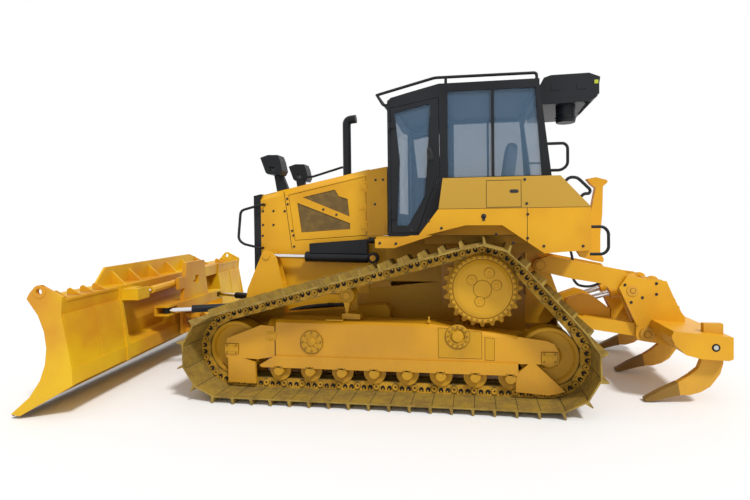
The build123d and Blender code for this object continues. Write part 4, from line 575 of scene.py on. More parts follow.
class BULLDOZER_OT_chains(bpy.types.Operator):
    """Lay the links of both chains round their idlers and sprockets"""
    bl_idname = "bulldozer.chains"
    bl_label = "Lay the chains"

    def execute(self, context):
        size = context.scene.bulldozer_chain
        recipe = self.links_round_line()
        side_plate = [(-96, -14), (-82, -34), (-62, -45), (62, -45), (82, -34), (90, -22), (92, 22), (80, 40),
                      (46, 50), (-20, 50), (-60, 42), (-86, 34), (-96, 14)]
        windows = ([(-56, -30), (-14, -32), (-10, -8), (-24, 14), (-44, 16), (-58, 0)],
                   [(10, -32), (50, -30), (54, -6), (42, 12), (22, 14), (8, -4)])
        boss = [(-2, 31), (9, 31), (12, 28), (12, 19), (8, 17), (8, 0)]
        seam = [(91, -47.5), (96, -47.5), (96, -46), (91, -46)]
        for side, name in SIDES:
            link, shade = Shape(), Shape()
            for rail in (-1, 1):
                def beside(x, z, out):
                    """A place on the link, out from its rail's face, in millimetres about the chord's middle."""
                    return Vector((x, rail * (92 + out), z)) / 1000

                way, plate = (0, rail, 0), size.plate * 1000
                link.slab(side_plate, (-1, plate), beside)
                link.turned(beside(-95, 0, 0), way, boss, 14)
                # Dark sheets of painted shade: in the link windows, round the pin boss, in the pin end and in the gap
                # to the next link.
                for window in windows:
                    shade.slab(window, (1, plate + 0.6), beside)
                shade.turned(beside(-95, 0, 0), way, [(3, 30), (4.4, 30), (4.4, 36), (3, 36)], 14, closed=True)
                shade.turned(beside(-95, 0, 0), way, [(7, 0), (9.5, 0.01), (9.5, 9), (7, 9)], 8)
                shade.slab(seam, (10, 320), beside)
                for x in (-30, 31):
                    link.turned(beside(x, -22, 2), way, [(0, 9), (7, 9), (7, 0)], 6)
            line = [at(p.x, side * TRACK_Y, p.y) for p in chain_line()]
            for part, finish, label in ((link, "chain_steel", "links"), (shade, "deep_shadow", "link_windows")):
                pattern = bpy.data.objects.new("pattern", part.mesh())
                ring = bpy.data.meshes.new("line")
                ring.from_pydata(line, [(i, (i + 1) % len(line)) for i in range(len(line))], [])
                made = recipe.run(ring, finish, Links=size.links, Link=pattern)
                piece(f"chain_{label}_{name}", made, finish, "tractor")
                bpy.data.objects.remove(pattern)
        return {"FINISHED"}

    @staticmethod
    def links_round_line():
        """A tree that spaces links evenly round a closed line, each along its own chord."""
        recipe = Recipe("links_round_line", Links="Int", Link="Object")
        line = recipe.node("GeometryNodeMeshToCurve", {}, {"Mesh": recipe["Geometry"]})
        pins = recipe.node("GeometryNodeResampleCurve", {"mode": "COUNT"}, {"Curve": line, "Count": recipe["Links"]})
        chords = recipe.node("GeometryNodeCurveToMesh", {}, {"Curve": pins})
        near = recipe.node("GeometryNodeInputMeshEdgeVertices", out="Position 1")
        far = recipe.node("GeometryNodeInputMeshEdgeVertices", out="Position 2")
        along = recipe.node("ShaderNodeVectorMath", {"operation": "SUBTRACT"}, {0: far, 1: near})
        kept = recipe.node("GeometryNodeCaptureAttribute", {"domain": "EDGE", "items": {"Along": "VECTOR"}},
                           {"Geometry": chords, "Along": along})
        capture = kept.socket.node
        points = recipe.node("GeometryNodeMeshToPoints", {"mode": "EDGES"}, {"Mesh": kept})
        turn = recipe.node("FunctionNodeAlignRotationToVector", {"axis": "X", "pivot_axis": "Y"},
                           {"Vector": Wire(recipe, capture.outputs["Along"])})
        link = recipe.node("GeometryNodeObjectInfo", {}, {"Object": recipe["Link"]}, out="Geometry")
        return recipe.close(recipe.node("GeometryNodeInstanceOnPoints", {}, {
            "Points": points, "Instance": link, "Rotation": turn}))


class BULLDOZER_OT_running_gear(bpy.types.Operator):
    """Turn the idlers, rollers, sprockets and final drives"""
    bl_idname = "bulldozer.running_gear"
    bl_label = "Turn the running gear"

    def execute(self, context):
        wheels = Shape()
        for x in (FRONT_IDLER_X, REAR_IDLER_X):
            wheels.turned(at(x, TRACK_Y, IDLER_Z), LEFT, [
                (-128, 0), (-128, 74), (-96, 74), (-96, 96), (-62, 120), (-62, 226), (-92, 240), (-92, 268),
                (-86, 275), (86, 275), (92, 268), (92, 240), (62, 226), (62, 120), (96, 96), (96, 74), (128, 74),
                (128, 0)], 56)
        for x in ROLLER_XS:
            wheels.turned(at(x, TRACK_Y, 262), LEFT, [
                (-170, 0), (-170, 40), (-120, 40), (-116, 91), (96, 91), (96, 104), (102, 110), (116, 110), (116, 60),
                (150, 56), (170, 46), (170, 0)], 32)
        wheels.turned(at(CARRIER_X, TRACK_Y, CARRIER_Z), LEFT, [
            (-122, 0), (-122, 34), (-92, 34), (-92, 78), (84, 78), (92, 72), (92, 60), (88, 57), (88, 34), (94, 30),
            (94, 0)], 40)
        wheels.mirrored().done("rollers_and_idlers", "gear_steel", "tractor", ("rollers",))

        teeth, count = [], 24
        tooth = ((-0.5, 336), (-0.33, 342), (-0.21, 364), (-0.12, 380), (0.12, 380), (0.21, 364), (0.33, 342))
        for i in range(count):
            for share, radius in tooth:
                turn = (i + share) * math.tau / count
                teeth.append((radius * math.cos(turn), SPROCKET_Z + radius * math.sin(turn)))
        drive = Shape()
        drive.plate(teeth, TRACK_Y - 35, TRACK_Y + 35)
        drive.turned(at(0, 440.3, SPROCKET_Z), LEFT, [(0, 0), (0, 285), (740, 285), (740, 0)], 48)
        drive.mirrored().done("sprockets_toothed", "gear_steel", bevel=0.004)
        cover = Shape().turned(at(0, 1180, SPROCKET_Z), LEFT, [
            (0, 0), (0, 322), (3, 325), (31, 325), (40, 321), (47, 311), (48, 284), (43, 281), (43, 276), (49, 273),
            (53, 262), (60, 245), (65, 225), (65, 88), (63, 86), (63, 80), (65, 78), (65, 0)], 72)
        for x, z in ((98, 88), (-130, 42), (-65, 155), (26, -116)):
            cover.turned(at(x, 1243, SPROCKET_Z + z), LEFT, [
                (0, 0), (0, 46), (6, 44), (8, 40), (8, 27), (5, 25), (5, 14), (12, 12), (12, 0)], 24)
        cover.mirrored().done("final_drive_covers", "drive_yellow", "tractor", ("sprockets",))
        return {"FINISHED"}


def bolt_heads():
    """A tree that seats a hexagon head and its washer on every point, along the point's facing."""
    recipe = Recipe("bolt_heads", Head_radius="Float", Head_height="Float")
    width, height = recipe["Head radius"], recipe["Head height"]
    head = recipe.node("GeometryNodeMeshCylinder", {}, {"Vertices": 6, "Radius": width, "Depth": height * 2})
    washer = recipe.node("GeometryNodeMeshCylinder", {}, {
        "Vertices": 12, "Radius": width * 1.4, "Depth": height * 0.7})
    both = recipe.node("GeometryNodeJoinGeometry", {}, {"Geometry": [head, washer]})
    facing = recipe.node("GeometryNodeInputNamedAttribute", {"data_type": "FLOAT_VECTOR"}, {"Name": "facing"})
    turn = recipe.node("FunctionNodeAlignRotationToVector", {"axis": "Z"}, {"Vector": facing})
    return recipe.close(recipe.node("GeometryNodeInstanceOnPoints", {}, {
        "Points": recipe["Geometry"], "Instance": both, "Rotation": turn}))


def seat_bolts(recipe, name, finish, body, places, radius, height, both_sides=True):
    """Seats like bolts at places in millimetres, each with the way that it faces."""
    places = [(at(*place), Vector(facing)) for place, facing in places]
    if both_sides:
        flip = Vector((1, -1, 1))
        places += [(place * flip, facing * flip) for place, facing in places]
    points = bpy.data.meshes.new(name)
    points.from_pydata([place for place, facing in places], [], [])
    facing = points.attributes.new("facing", "FLOAT_VECTOR", "POINT")
    for value, (place, way) in zip(facing.data, places):
        value.vector = way
    made = recipe.run(points, finish, Head_radius=radius / 1000, Head_height=height / 1000)
    return piece(name, made, finish, body)


def ring_of(centre, radius, count):
    """Places in millimetres evenly round a centre, on a plane that faces left."""
    x, y, z = centre
    turns = [i * math.tau / count for i in range(count)]
    return [((x + radius * math.cos(turn), y, z + radius * math.sin(turn)), LEFT) for turn in turns]


class BULLDOZER_OT_fasteners(bpy.types.Operator):
    """Seat the bolts of the panels, covers and blade"""
    bl_idname = "bulldozer.fasteners"
    bl_label = "Seat the bolts"

    def execute(self, context):
        recipe = bolt_heads()
        hood = [(2525, 1886), (2396, 1887), (2528, 1725), (2398, 1724), (2533, 1599), (2258, 1882), (2225, 2027),
                (2220, 1963), (2170, 1652), (2155, 1599), (2148, 1469)]
        cowl = [(1166, 2218), (1080, 2219), (1175, 1944)]
        fender = [(-417, 2136), (-434, 1902), (-443, 1798), (-441, 1566), (-307, 1521), (-141, 1607), (394, 1671),
                  (523, 1744), (695, 1656), (1022, 1525), (856, 1519), (-593, 1488), (-956, 1487)]
        black = [((x, y, z), LEFT) for y, spots in ((450, hood), (480, cowl), (1000, fender)) for x, z in spots]
        seat_bolts(recipe, "panel_bolts", "black_bolt", "tractor", black, 10, 8)
        for side, name in SIDES:
            door = [((x, side * 450, z), (0, side, 0)) for x, z in ((1790, 1895), (1634, 1833))]
            seat_bolts(recipe, f"door_bolts_{name}", "black_bolt", f"engine_door_{name[0]}", door, 10, 8, False)
        (front_x, front_z), (rear_x, rear_z) = FRONT_COVER, REAR_COVER
        yellow = ring_of((0, 1229, SPROCKET_Z), 301, 36) + ring_of((front_x, 1243, front_z), 92, 8)
        yellow += ring_of((rear_x, 1244, rear_z), 92, 12)
        for x in (2521, -604):
            yellow += [((x + dx, 1244, 467 + dz), LEFT) for dx in (-48, 48) for dz in (-34, 34)]
        yellow += [((x + dx, 1250, 300), LEFT) for x in ROLLER_XS for dx in (-32, 32)]
        seat_bolts(recipe, "gear_bolts", "bolt_ochre", "tractor", yellow, 9, 8)
        plates = [(place, LEFT) for place in (
            (-1530, 536, 880), (-1640, 536, 930), (-1470, 536, 1060), (-1781, 522, 964), (-1781, 522, 1075))]
        seat_bolts(recipe, "ripper_bolts", "black_bolt", "ripper_beam_body", plates, 11, 8)
        return {"FINISHED"}


class BULLDOZER_OT_frame_details(bpy.types.Operator):
    """Add the covers, pipes and pedestals of the track frames and the panels above them"""
    bl_idname = "bulldozer.frame_details"
    bl_label = "Cover the track frames"

    def execute(self, context):
        covers = Shape()
        turns = [i * math.tau / 8 for i in range(8)]
        corners = [(i + 0.5) * math.tau / 8 for i in range(8)]
        (front_x, front_z), (rear_x, rear_z) = FRONT_COVER, REAR_COVER
        covers.plate([(front_x + 128 * math.cos(turn), front_z + 128 * math.sin(turn)) for turn in corners],
                     1229, 1236)
        covers.turned(at(front_x, 1235, front_z), LEFT, [
            (0, 0), (0, 112), (8, 110), (8, 66), (4, 62), (4, 40), (14, 36), (16, 30), (16, 0)], 40)
        for turn in turns:
            spoke = [at(front_x + r * math.cos(turn), 1243, front_z + r * math.sin(turn)) for r in (34, 70)]
            covers.tube(spoke, 0.006, 6)
        covers.turned(at(rear_x, 1241, rear_z), LEFT, [
            (0, 0), (0, 112), (4, 110), (4, 74), (1, 70), (1, 56), (7, 52), (12, 50), (14, 44), (14, 0)], 48)
        covers.plate([(13, 440), (418, 440), (418, 722), (13, 690)], 1229, 1233)
        covers.plate([(-104, 430), (-20, 430), (-20, 640), (-104, 632)], 1229, 1233)
        covers.plate([(1531, 781), (1355, 781), (1355, 768), (1531, 768)], 1205, 1228)
        covers.turned(at(510, 1205, 768), (0, 0, 1), [
            (0, 0), (0, 16), (22, 16), (22, 9), (55, 9), (58, 6), (58, 0)], 12)
        yokes = ((2521, 467), (-604, 469))
        for x, z in yokes:
            covers.plate(oblong(x, z, 70, 50), 1225, 1244)
            covers.turned(at(x, 1243, z), LEFT, [(0, 0), (0, 30), (6, 28), (6, 0)], 24)
        covers.mirrored().done("frame_covers", "gear_steel", bevel=0.003)
        # Dark strips of painted shade: rings in the covers' grooves, outlines round the yokes and side plates, and a
        # strip for the gap in front of the recoil sleeve.
        groove_shading = Shape()
        for *place, radius in (
            (front_x, 1243.5, front_z, 112), (front_x, 1243.5, front_z, 34), (rear_x, 1245, rear_z, 76),
            (rear_x, 1245, rear_z, 46), (rear_x, 1241.5, rear_z, 114), (0, 1245, SPROCKET_Z, 84), (98, 1245, 1185, 47),
            (-130, 1245, 1139, 47), (-65, 1245, 1252, 47), (26, 1245, 981, 47), (0, 1226, SPROCKET_Z, 314),
            (0, 1228, SPROCKET_Z, 279),
            (CARRIER_X, 1172.3, CARRIER_Z, 60), (CARRIER_X, 1168.5, CARRIER_Z, 40),
        ):
            groove_shading.groove_shade_band(place, radius, -1, 0.8, 48)
        for x, z in yokes:
            groove_shading.plate(oblong(x, z, 75, 54), 1229.5, 1231)
        for outline in ([(9, 436), (422, 436), (422, 726), (9, 694)],
                        [(-108, 426), (-16, 426), (-16, 644), (-108, 636)]):
            groove_shading.plate(outline, 1229.5, 1230.8)
        groove_shading.plate([(2052, 404), (2064, 404), (2064, 704), (2052, 704)], 1229, 1231)
        groove_shading.mirrored().done("cover_grooves", "groove_shade")
        pipes = Shape()
        for line in ([(2285, 690), (2074, 755), (1803, 790), (1480, 800)],
                     [(2243, 640), (1980, 700), (1661, 716), (1480, 730)]):
            pipes.tube(bent([(x, 470, z) for x, z in line], 0.1), 0.024, 14)
        for x in (1700, 1730):
            pipes.box((x, x + 12), (452, 500), (700, 820))
        pipes.mirrored().done("frame_pipes", "black_bolt")
        pedestal = Shape().plate([(1385, 772), (1385, 826), (1340, 834), (1366, 938), (1300, 938), (1326, 834),
                                  (1196, 826), (1196, 772)], 1040, 1160)
        pedestal.mirrored().done("carrier_pedestals", "gear_steel", bevel=0.004)
        ahead = (1, 0, 0)
        ring = Shape().turned(at(2046, TRACK_Y, 606), ahead, [(0, 0), (0, 158), (100, 158), (104, 150), (104, 0)], 48)
        ring.turned(at(2110, TRACK_Y, 606), ahead, [(-4, 160.5), (4, 160.5), (4, 158), (-4, 158)], 48, closed=True)
        ring.mirrored().done("recoil_sleeves", "gear_steel")
        inner = Shape()
        inner.plate([(1276, 985), (1276, 880), (442, 795), (442, 1070), (700, 1050)], 438, 446)
        inner.plate([(1040, 1475), (640, 1560), (400, 1690), (155, 1690), (-201, 1690), (-420, 1560), (-420, 1380),
                     (-200, 1480), (300, 1490), (700, 1380), (1040, 1300)], 560, 580)
        inner.box((440, 1276), (441, 445), (1070, 1500))
        inner.plate([(-300, 1640), (-201, 1700), (155, 1703), (520, 1650), (640, 1594), (-440, 1594)], 831, 838)
        inner.box((560, 1062), (480, 984), (1570, 1588))
        inner.box((1062, 1262), (480, 506), (1570, 1588))
        inner.plate([(-420, 1560), (-420, 1395), (-560, 1395), (-660, 1370), (-690, 1440), (-560, 1500)], 508, 516)
        inner.mirrored().done("inner_panels", "gear_steel", bevel=0.002)
        skirt = Shape().plate([(1064, 1474), (875, 1472), (515, 1588), (480, 1600), (700, 1600), (1064, 1530)],
                              985, 999.5)
        skirt.mirrored().done("fender_skirts", "fender_yellow", bevel=0.001)
        return {"FINISHED"}


class BULLDOZER_OT_rams(bpy.types.Operator):
    """Turn the barrels and rods of the lift, angle and ripper cylinders"""
    bl_idname = "bulldozer.rams"
    bl_label = "Turn the cylinders"

    def execute(self, context):
        lift_ys = (562, -562)
        lift = [(at(1181, y, 1342), at(2415, y, 1371)) for y in lift_ys]
        self.ram("lift", lift, LEFT, (58, 27, 62, 48, 60, 785, 940), "lift_barrels_body", "lift_rods_body",
                 ("lift_barrels",), ("lift_rods",), "cab_black", lift_ys)
        for side, name in SIDES:
            ends = [(at(2840, side * 330, 740), on_mount(3700, side * 670, 740))]
            self.ram(f"angle_{name}", ends, (0, 0, 1), (45, 24, 48, 42, 60, 590, 600), f"angle_barrel_{name[0]}",
                     f"angle_rod_{name[0]}", (f"angle_barrel_{name}",), (f"angle_rod_{name}",), "cab_black")
        ripper = [(at(-1850, y, 1062), at(-1145, y, 856)) for y in (200, -200)]
        self.ram("ripper", ripper, LEFT, (66, 30, 60, 48, 60, 470, 520), "ripper_barrels_body", "ripper_rods_body",
                 ("ripper_barrels",), ("ripper_rods",), "machine_yellow")
        return {"FINISHED"}

    @staticmethod
    def ram(name, ends, pin, sizes, barrel_body, rod_body, barrels, rods, finish, guard_ys=()):
        """One group of like cylinders: barrels with their glands, rods, an eye at each end and maybe guards."""
        barrel_r, rod_r, eye_r, rod_eye_r, wide, reach, rod_reach = sizes
        half = wide / 2
        barrel, rod, eyes = Shape(), Shape(), Shape()

        def boss(radius):
            return [(-half, 0), (-half, radius - 3), (3 - half, radius), (half - 3, radius), (half, radius - 3),
                    (half, 0)]

        for base, eye in ends:
            way = (eye - base).normalized()
            length = (eye - base).length * 1000
            barrel.turned(base, way, [
                (eye_r * 0.7, 0), (eye_r * 0.7, barrel_r * 0.7), (eye_r + 4, barrel_r), (reach * 0.9, barrel_r),
                (reach * 0.9, barrel_r - 2), (reach * 0.915, barrel_r - 2), (reach * 0.915, barrel_r),
                (reach - 4, barrel_r), (reach, barrel_r - 6), (reach, rod_r + 2), (reach - 6, rod_r + 1),
                (reach - 6, 0)], 32)
            barrel.turned(base, pin, boss(eye_r), 32)
            rod_end = length - rod_eye_r * 0.8
            rod.turned(base, way, [
                (length - rod_reach, 0), (length - rod_reach, rod_r), (rod_end, rod_r), (rod_end, 0)], 24)
            eyes.turned(eye, pin, boss(rod_eye_r), 32)
        for y in guard_ys:
            barrel.plate([(1245, 1392), (1907, 1404), (1907, 1509), (1245, 1553)], y - 50, y + 50)
        barrel.done(f"{name}_barrels_turned", finish, barrel_body, barrels, bevel=0.002)
        rod.done(f"{name}_rods_polished", "chrome_rod", rod_body, rods)
        eyes.done(f"{name}_rod_eyes", finish, rod_body)


class BULLDOZER_OT_rails(bpy.types.Operator):
    """Bend the grab rails, the roof guard and the exhaust"""
    bl_idname = "bulldozer.rails"
    bl_label = "Bend the rails"

    def execute(self, context):
        black = "cab_black"
        rails = Shape()
        bend, thick = 0.05, 0.015
        front = [(2770, 1895), (2803, 1564), (2746, 1506)]
        rear = [(-1030, 1670), (-1169, 1670), (-1213, 1620), (-1213, 1450), (-1168, 1404), (-1030, 1404)]
        upper = [(-620, 2508), (-829, 2508), (-859, 2472), (-859, 2290), (-800, 2240), (-660, 2240)]
        for points in (
            [(2505, 451, 1962), (2505, 520, 1962), *((x, 520, z) for x, z in front), (2530, 520, 1455),
             (2530, 451, 1455)],
            [(x, 900, z) for x, z in rear],
            [(x, 785, z) for x, z in upper],
        ):
            rails.tube(bent(points, bend), thick)
        run, drop = Vector((-279, 0, -304)).normalized(), Vector((-304, 0, 279)).normalized()
        top = Vector((-751, 950, 2168))
        handle = [(75, 0), (75, 60), (128, 108), (298, 114), (318, 80), (285, 50), (285, 0)]
        rails.tube(bent([top + run * s + drop * h for s, h in handle], 0.03), thick)
        rails.mirrored()
        over = [(2251, -350, 2361), (2190, -350, 2361), (1735, -300, 2478), (1735, -300, 2240)]
        rails.tube(bent(over, bend), thick)
        rails.done("grab_rails_bent", black, "tractor", ("grab_rails",))

        guard = Shape()
        side = [(965, 2975), (1012, 2975), (1081, 3087), (465, 3236), (-565, 3230), (-565, 3150)]
        guard.tube(bent([(x, 770, z) for x, z in side], 0.03), thick)
        guard.tube([at(351, 770, z) for z in (3150, 3236)], thick)
        guard.mirrored()
        guard.tube([at(1081, -770, 3087), at(1081, 770, 3087)], thick)
        guard.done("roof_guard_bent", black, "tractor", ("roof_guard",))

        pipe = Shape()
        pipe.tube(bent([(1620, 0, 2285), (1620, 0, 3010), (1500, 0, 3022)], 0.11, 10), 0.051, 28)
        pipe.turned(at(1620, 0, 2290), (0, 0, 1), [(-20, 60), (24, 60), (28, 56), (-20, 56)], 28, closed=True)
        pipe.done("exhaust_bent", black, "tractor", ("exhaust_stack",))
        return {"FINISHED"}


class BULLDOZER_OT_panels(bpy.types.Operator):
    """Set the doors' screens and latches and the fenders' seams and plugs"""
    bl_idname = "bulldozer.panels"
    bl_label = "Set the panels"

    def execute(self, context):
        screens = ([(2038, 2041), (1650, 2122), (1603, 2045), (1500, 2012), (1480, 1810)],
                   [(2105, 1980), (1475, 1733), (1475, 1665), (2058, 1632)])
        for side, name in SIDES:
            screen, latch = Shape(), Shape()
            for outline in screens:
                screen.plate(outline, side * 439, side * 442)
            screen.done(f"door_screens_{name}", "screen_mesh", f"engine_door_{name[0]}")
            latch.plate([(1372, 1876), (1258, 1876), (1258, 1956), (1372, 1956)], side * 449, side * 453)
            latch.plate([(1352, 1890), (1278, 1890), (1278, 1942), (1352, 1942)], side * 452, side * 458)
            latch.turned(at(1315, side * 456, 1916), (0, side, 0), [(0, 0), (0, 14), (5, 13), (5, 0)], 16)
            latch.done(f"door_latch_{name}", "machine_yellow", f"engine_door_{name[0]}", bevel=0.003)
        seams = Shape()
        for x, z, long, tall in ((-49, 2002, 5, 262), (-382, 2002, 5, 262), (-215, 2133, 338, 5),
                                 (-215, 1871, 338, 5), (-439, 1690, 5, 350)):
            seams.plate(oblong(x, z, long / 2, tall / 2), 999.5, 1000.8)
        seams.plate([(428, 1859), (-1028, 1859), (-1028, 1863), (428, 1863)], 999.5, 1000.8)
        seams.plate([(2260, 2110), (2266, 2110), (2178, 1440), (2172, 1440)], 449.5, 451)
        seams.mirrored().done("panel_seams", "deep_shadow")
        plugs = Shape()
        plugs.plate([(-280, 2008), (-350, 2008), (-362, 2024), (-346, 2042), (-284, 2042), (-270, 2026)], 998, 1003)
        plugs.turned(at(-315, 1002, 2026), LEFT, [(0, 0), (0, 17), (6, 15), (6, 0)], 20)
        plugs.turned(at(-22, 998, 1784), LEFT, [(0, 0), (0, 26), (8, 24), (8, 12), (14, 10), (14, 0)], 20)
        plugs.plate([(-36, 1740), (-8, 1740), (-8, 1784), (-36, 1784)], 999, 1006)
        plugs.mirrored().done("fender_plugs", "black_bolt", bevel=0.002)
        return {"FINISHED"}


class BULLDOZER_OT_cab(bpy.types.Operator):
    """Fit the cab doors' handles, the seat's cushions and the lamps' lenses"""
    bl_idname = "bulldozer.cab"
    bl_label = "Fit the cab"

    def execute(self, context):
        for side, name in SIDES:
            handle = Shape().plate([(545, 2500), (505, 2500), (480, 2430), (480, 2380), (520, 2370), (548, 2420)],
                                   side * 829, side * 842)
            grip = [(x, side * 852, z) for x, z in ((530, 2490), (500, 2440), (498, 2380))]
            handle.tube(bent(grip, 0.03), 0.009)
            handle.done(f"door_handle_{name}", "black_bolt", f"cab_door_{name[0]}", bevel=0.003)
        cushions = Shape()
        seat_z = 1630
        self.cushion(cushions, at(0, 0, seat_z + 330), (520, 520, 150), 0.0)
        self.cushion(cushions, at(-330, 0, seat_z + 680), (150, 480, 700), math.radians(-8))
        pad = cushions.done("seat_cushions", "seat_cloth", "tractor", ("seat",))
        lenses = Shape()
        for y in (-430, 430):
            lenses.plate([(2514, 2495), (2440, 2520), (2420, 2400), (2440, 2345)], y - 80, y + 80)
        for y in (-700, -520, 520, 700):
            lenses.box((958, 972), (y - 60, y + 60), (2990, 3040))
        lenses.done("lamp_lenses", "lamp_glass", bevel=0.004)
        return {"FINISHED"}

    @staticmethod
    def cushion(shape, centre, size, lean, cuts=10, corner=6, crown=0.10, pinch=0.04):
        """A crowned closed pad whose sides pull in between its corners; a larger corner makes it squarer."""
        before = set(shape.bm.verts)
        made = bmesh.ops.create_cube(shape.bm, size=2.0)["verts"]
        edges = list({edge for vert in made for edge in vert.link_edges})
        bmesh.ops.subdivide_edges(shape.bm, edges=edges, cuts=cuts, use_grid_fill=True)
        verts = [vert for vert in shape.bm.verts if vert not in before]
        turn = Matrix.Rotation(lean, 3, "Y")
        for vert in verts:
            u, v, w = vert.co
            round_off = (abs(u) ** corner + abs(v) ** corner + abs(w) ** corner) ** (1 / corner)
            u, v, w = u / round_off, v / round_off, w / round_off
            swell = 1 + crown * (1 - u * u) * (1 - v * v) * (1 - w * w) - pinch * (u * u + v * v + w * w)
            place = Vector((u * size[0], v * size[1], w * size[2])) * swell / 2000
            place.rotate(turn)
            vert.co = place + centre


class BULLDOZER_OT_rear(bpy.types.Operator):
    """Build the cooling unit, the reflectors and the ripper's hoses"""
    bl_idname = "bulldozer.rear"
    bl_label = "Fit the rear"

    def execute(self, context):
        unit = Shape()
        unit.plate([(-592, 3106), (-678, 3262), (-750, 3285), (-1139, 3289), (-1251, 3242), (-1222, 3040),
                    (-1150, 2990), (-700, 2976), (-605, 2978)], -480, 480)
        unit.plate([(-1210, 3040), (-1160, 3040), (-1030, 2872), (-1060, 2872)], 380, 420)
        unit.turned(at(-930, 300, 2806), (0, 0, 1), [
            (0, 0), (0, 96), (6, 102), (40, 102), (46, 112), (58, 112), (64, 104), (190, 104), (190, 0)], 36)
        unit.turned(at(-930, 300, 2830), (0, 0, 1), [(0, 106), (12, 106), (12, 102), (0, 102)], 36, closed=True)
        for x in (-1060, -800):
            unit.plate([(x - 50, 3190), (x + 50, 3190), (x + 50, 3120), (x - 50, 3120)], 479, 484)
        for i in range(9):
            unit.box((-1256, -1236), (-420 + i * 100, -380 + i * 100), (3080, 3220))
        unit.done("cooling_unit", "cab_black", "tractor", ("aircon_unit",), bevel=0.006)
        glow = Shape()
        glow.box((-1230, -1190), (481, 485), (3170, 3210))
        glow.box((-443, -350), (690, 740), (3160, 3172))
        glow.mirrored().done("reflectors", "reflector", bevel=0.002)
        upper = bent([(-950, 385, 1515), (-950, 385, 1440), (-978, 385, 1340), (-985, 385, 1226)], 0.08)
        lower = bent([(-985, 385, 1154), (-985, 385, 1100), (-1030, 385, 1035), (-1150, 385, 1015),
                      (-1265, 388, 1060), (-1335, 420, 1098)], 0.07)
        for name, route, body in (("ripper_hose_upper", upper, None), ("ripper_hose_lower", lower, "ripper_upper")):
            made = Shape().tube(route, 0.014, 14).done(name, "black_bolt", body)
            if route is upper:
                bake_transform(made)
            length = sum((b - a).length for a, b in zip(route, route[1:]))
        return {"FINISHED"}


class BULLDOZER_OT_ripper(bpy.types.Operator):
    """Cap the ripper's pins"""
    bl_idname = "bulldozer.ripper"
    bl_label = "Cap the ripper"

    def execute(self, context):
        caps, dark, fittings = Shape(), Shape(), Shape()
        caps.turned(at(-1692, 522, 549), LEFT, [(0, 0), (0, 78), (10, 76), (14, 72), (14, 34), (18, 32), (18, 0)], 40)
        caps.turned(at(-1545, 534, 1000), LEFT, [(0, 0), (0, 60), (8, 58), (8, 24), (12, 22), (12, 0)], 36)
        dark.turned(at(-2088, 1074, 562), LEFT, [(0, 0), (0, 36), (3, 36), (3, 0)], 24)
        for *place, radius in ((-1692, 537, 549, 35), (-1545, 542.5, 1000, 25)):
            dark.groove_shade_band(place, radius, -2, 0.6, 36)
        fittings.turned(at(-2088, 1076, 562), LEFT, [(0, 0), (0, 22), (5, 20), (5, 0)], 20)
        for name, shape, finish in (("pin_caps", caps, "ripper_yellow"), ("pin_shades", dark, "deep_shadow"),
                                    ("pin_ends", fittings, "fitting_zinc")):
            shape.mirrored().done(f"ripper_{name}", finish, "ripper_beam_body", bevel=0.002 if shape is caps else 0)
        pins = Shape()
        pins.turned(at(-624, 489, 1260), LEFT, [(0, 0), (0, 62), (5, 60), (5, 36), (8, 34), (8, 0)], 36)
        pins.mirrored().done("upper_link_caps", "gear_steel", "ripper_upper", bevel=0.002)
        return {"FINISHED"}


class BULLDOZER_OT_blade(bpy.types.Operator):
    """Weld the lugs, gussets and seams on the blade"""
    bl_idname = "bulldozer.blade"
    bl_label = "Weld the blade"

    def execute(self, context):
        welded = Shape()
        for side in (-1, 1):
            for edge in (2019, 1991):
                out = side if edge > 2000 else -side
                lug = [(0, 28), (0, 60), (7, 57), (7, 28)]
                welded.turned(at(4100, side * edge, 1180), (0, out, 0), lug, 32, closed=True)
            for u in (1930, 1760, 1590, 1420):
                welded.plate([(3906, 1112), (4050, 1112), (4050, 1165), (4020, 1180)],
                             *sorted((side * u, side * (u - 14))))
            welded.box((3895, 3905), sorted((side * 1240, side * 1960)), (1086, 1112))
            welded.plate([(3840, 474), (3897, 960), (3890, 960), (3833, 474)], *sorted((side * 1590, side * 1596)))
        on_blade(welded).done("blade_welds", "blade_orange", "blade_body", bevel=0.003)
        return {"FINISHED"}


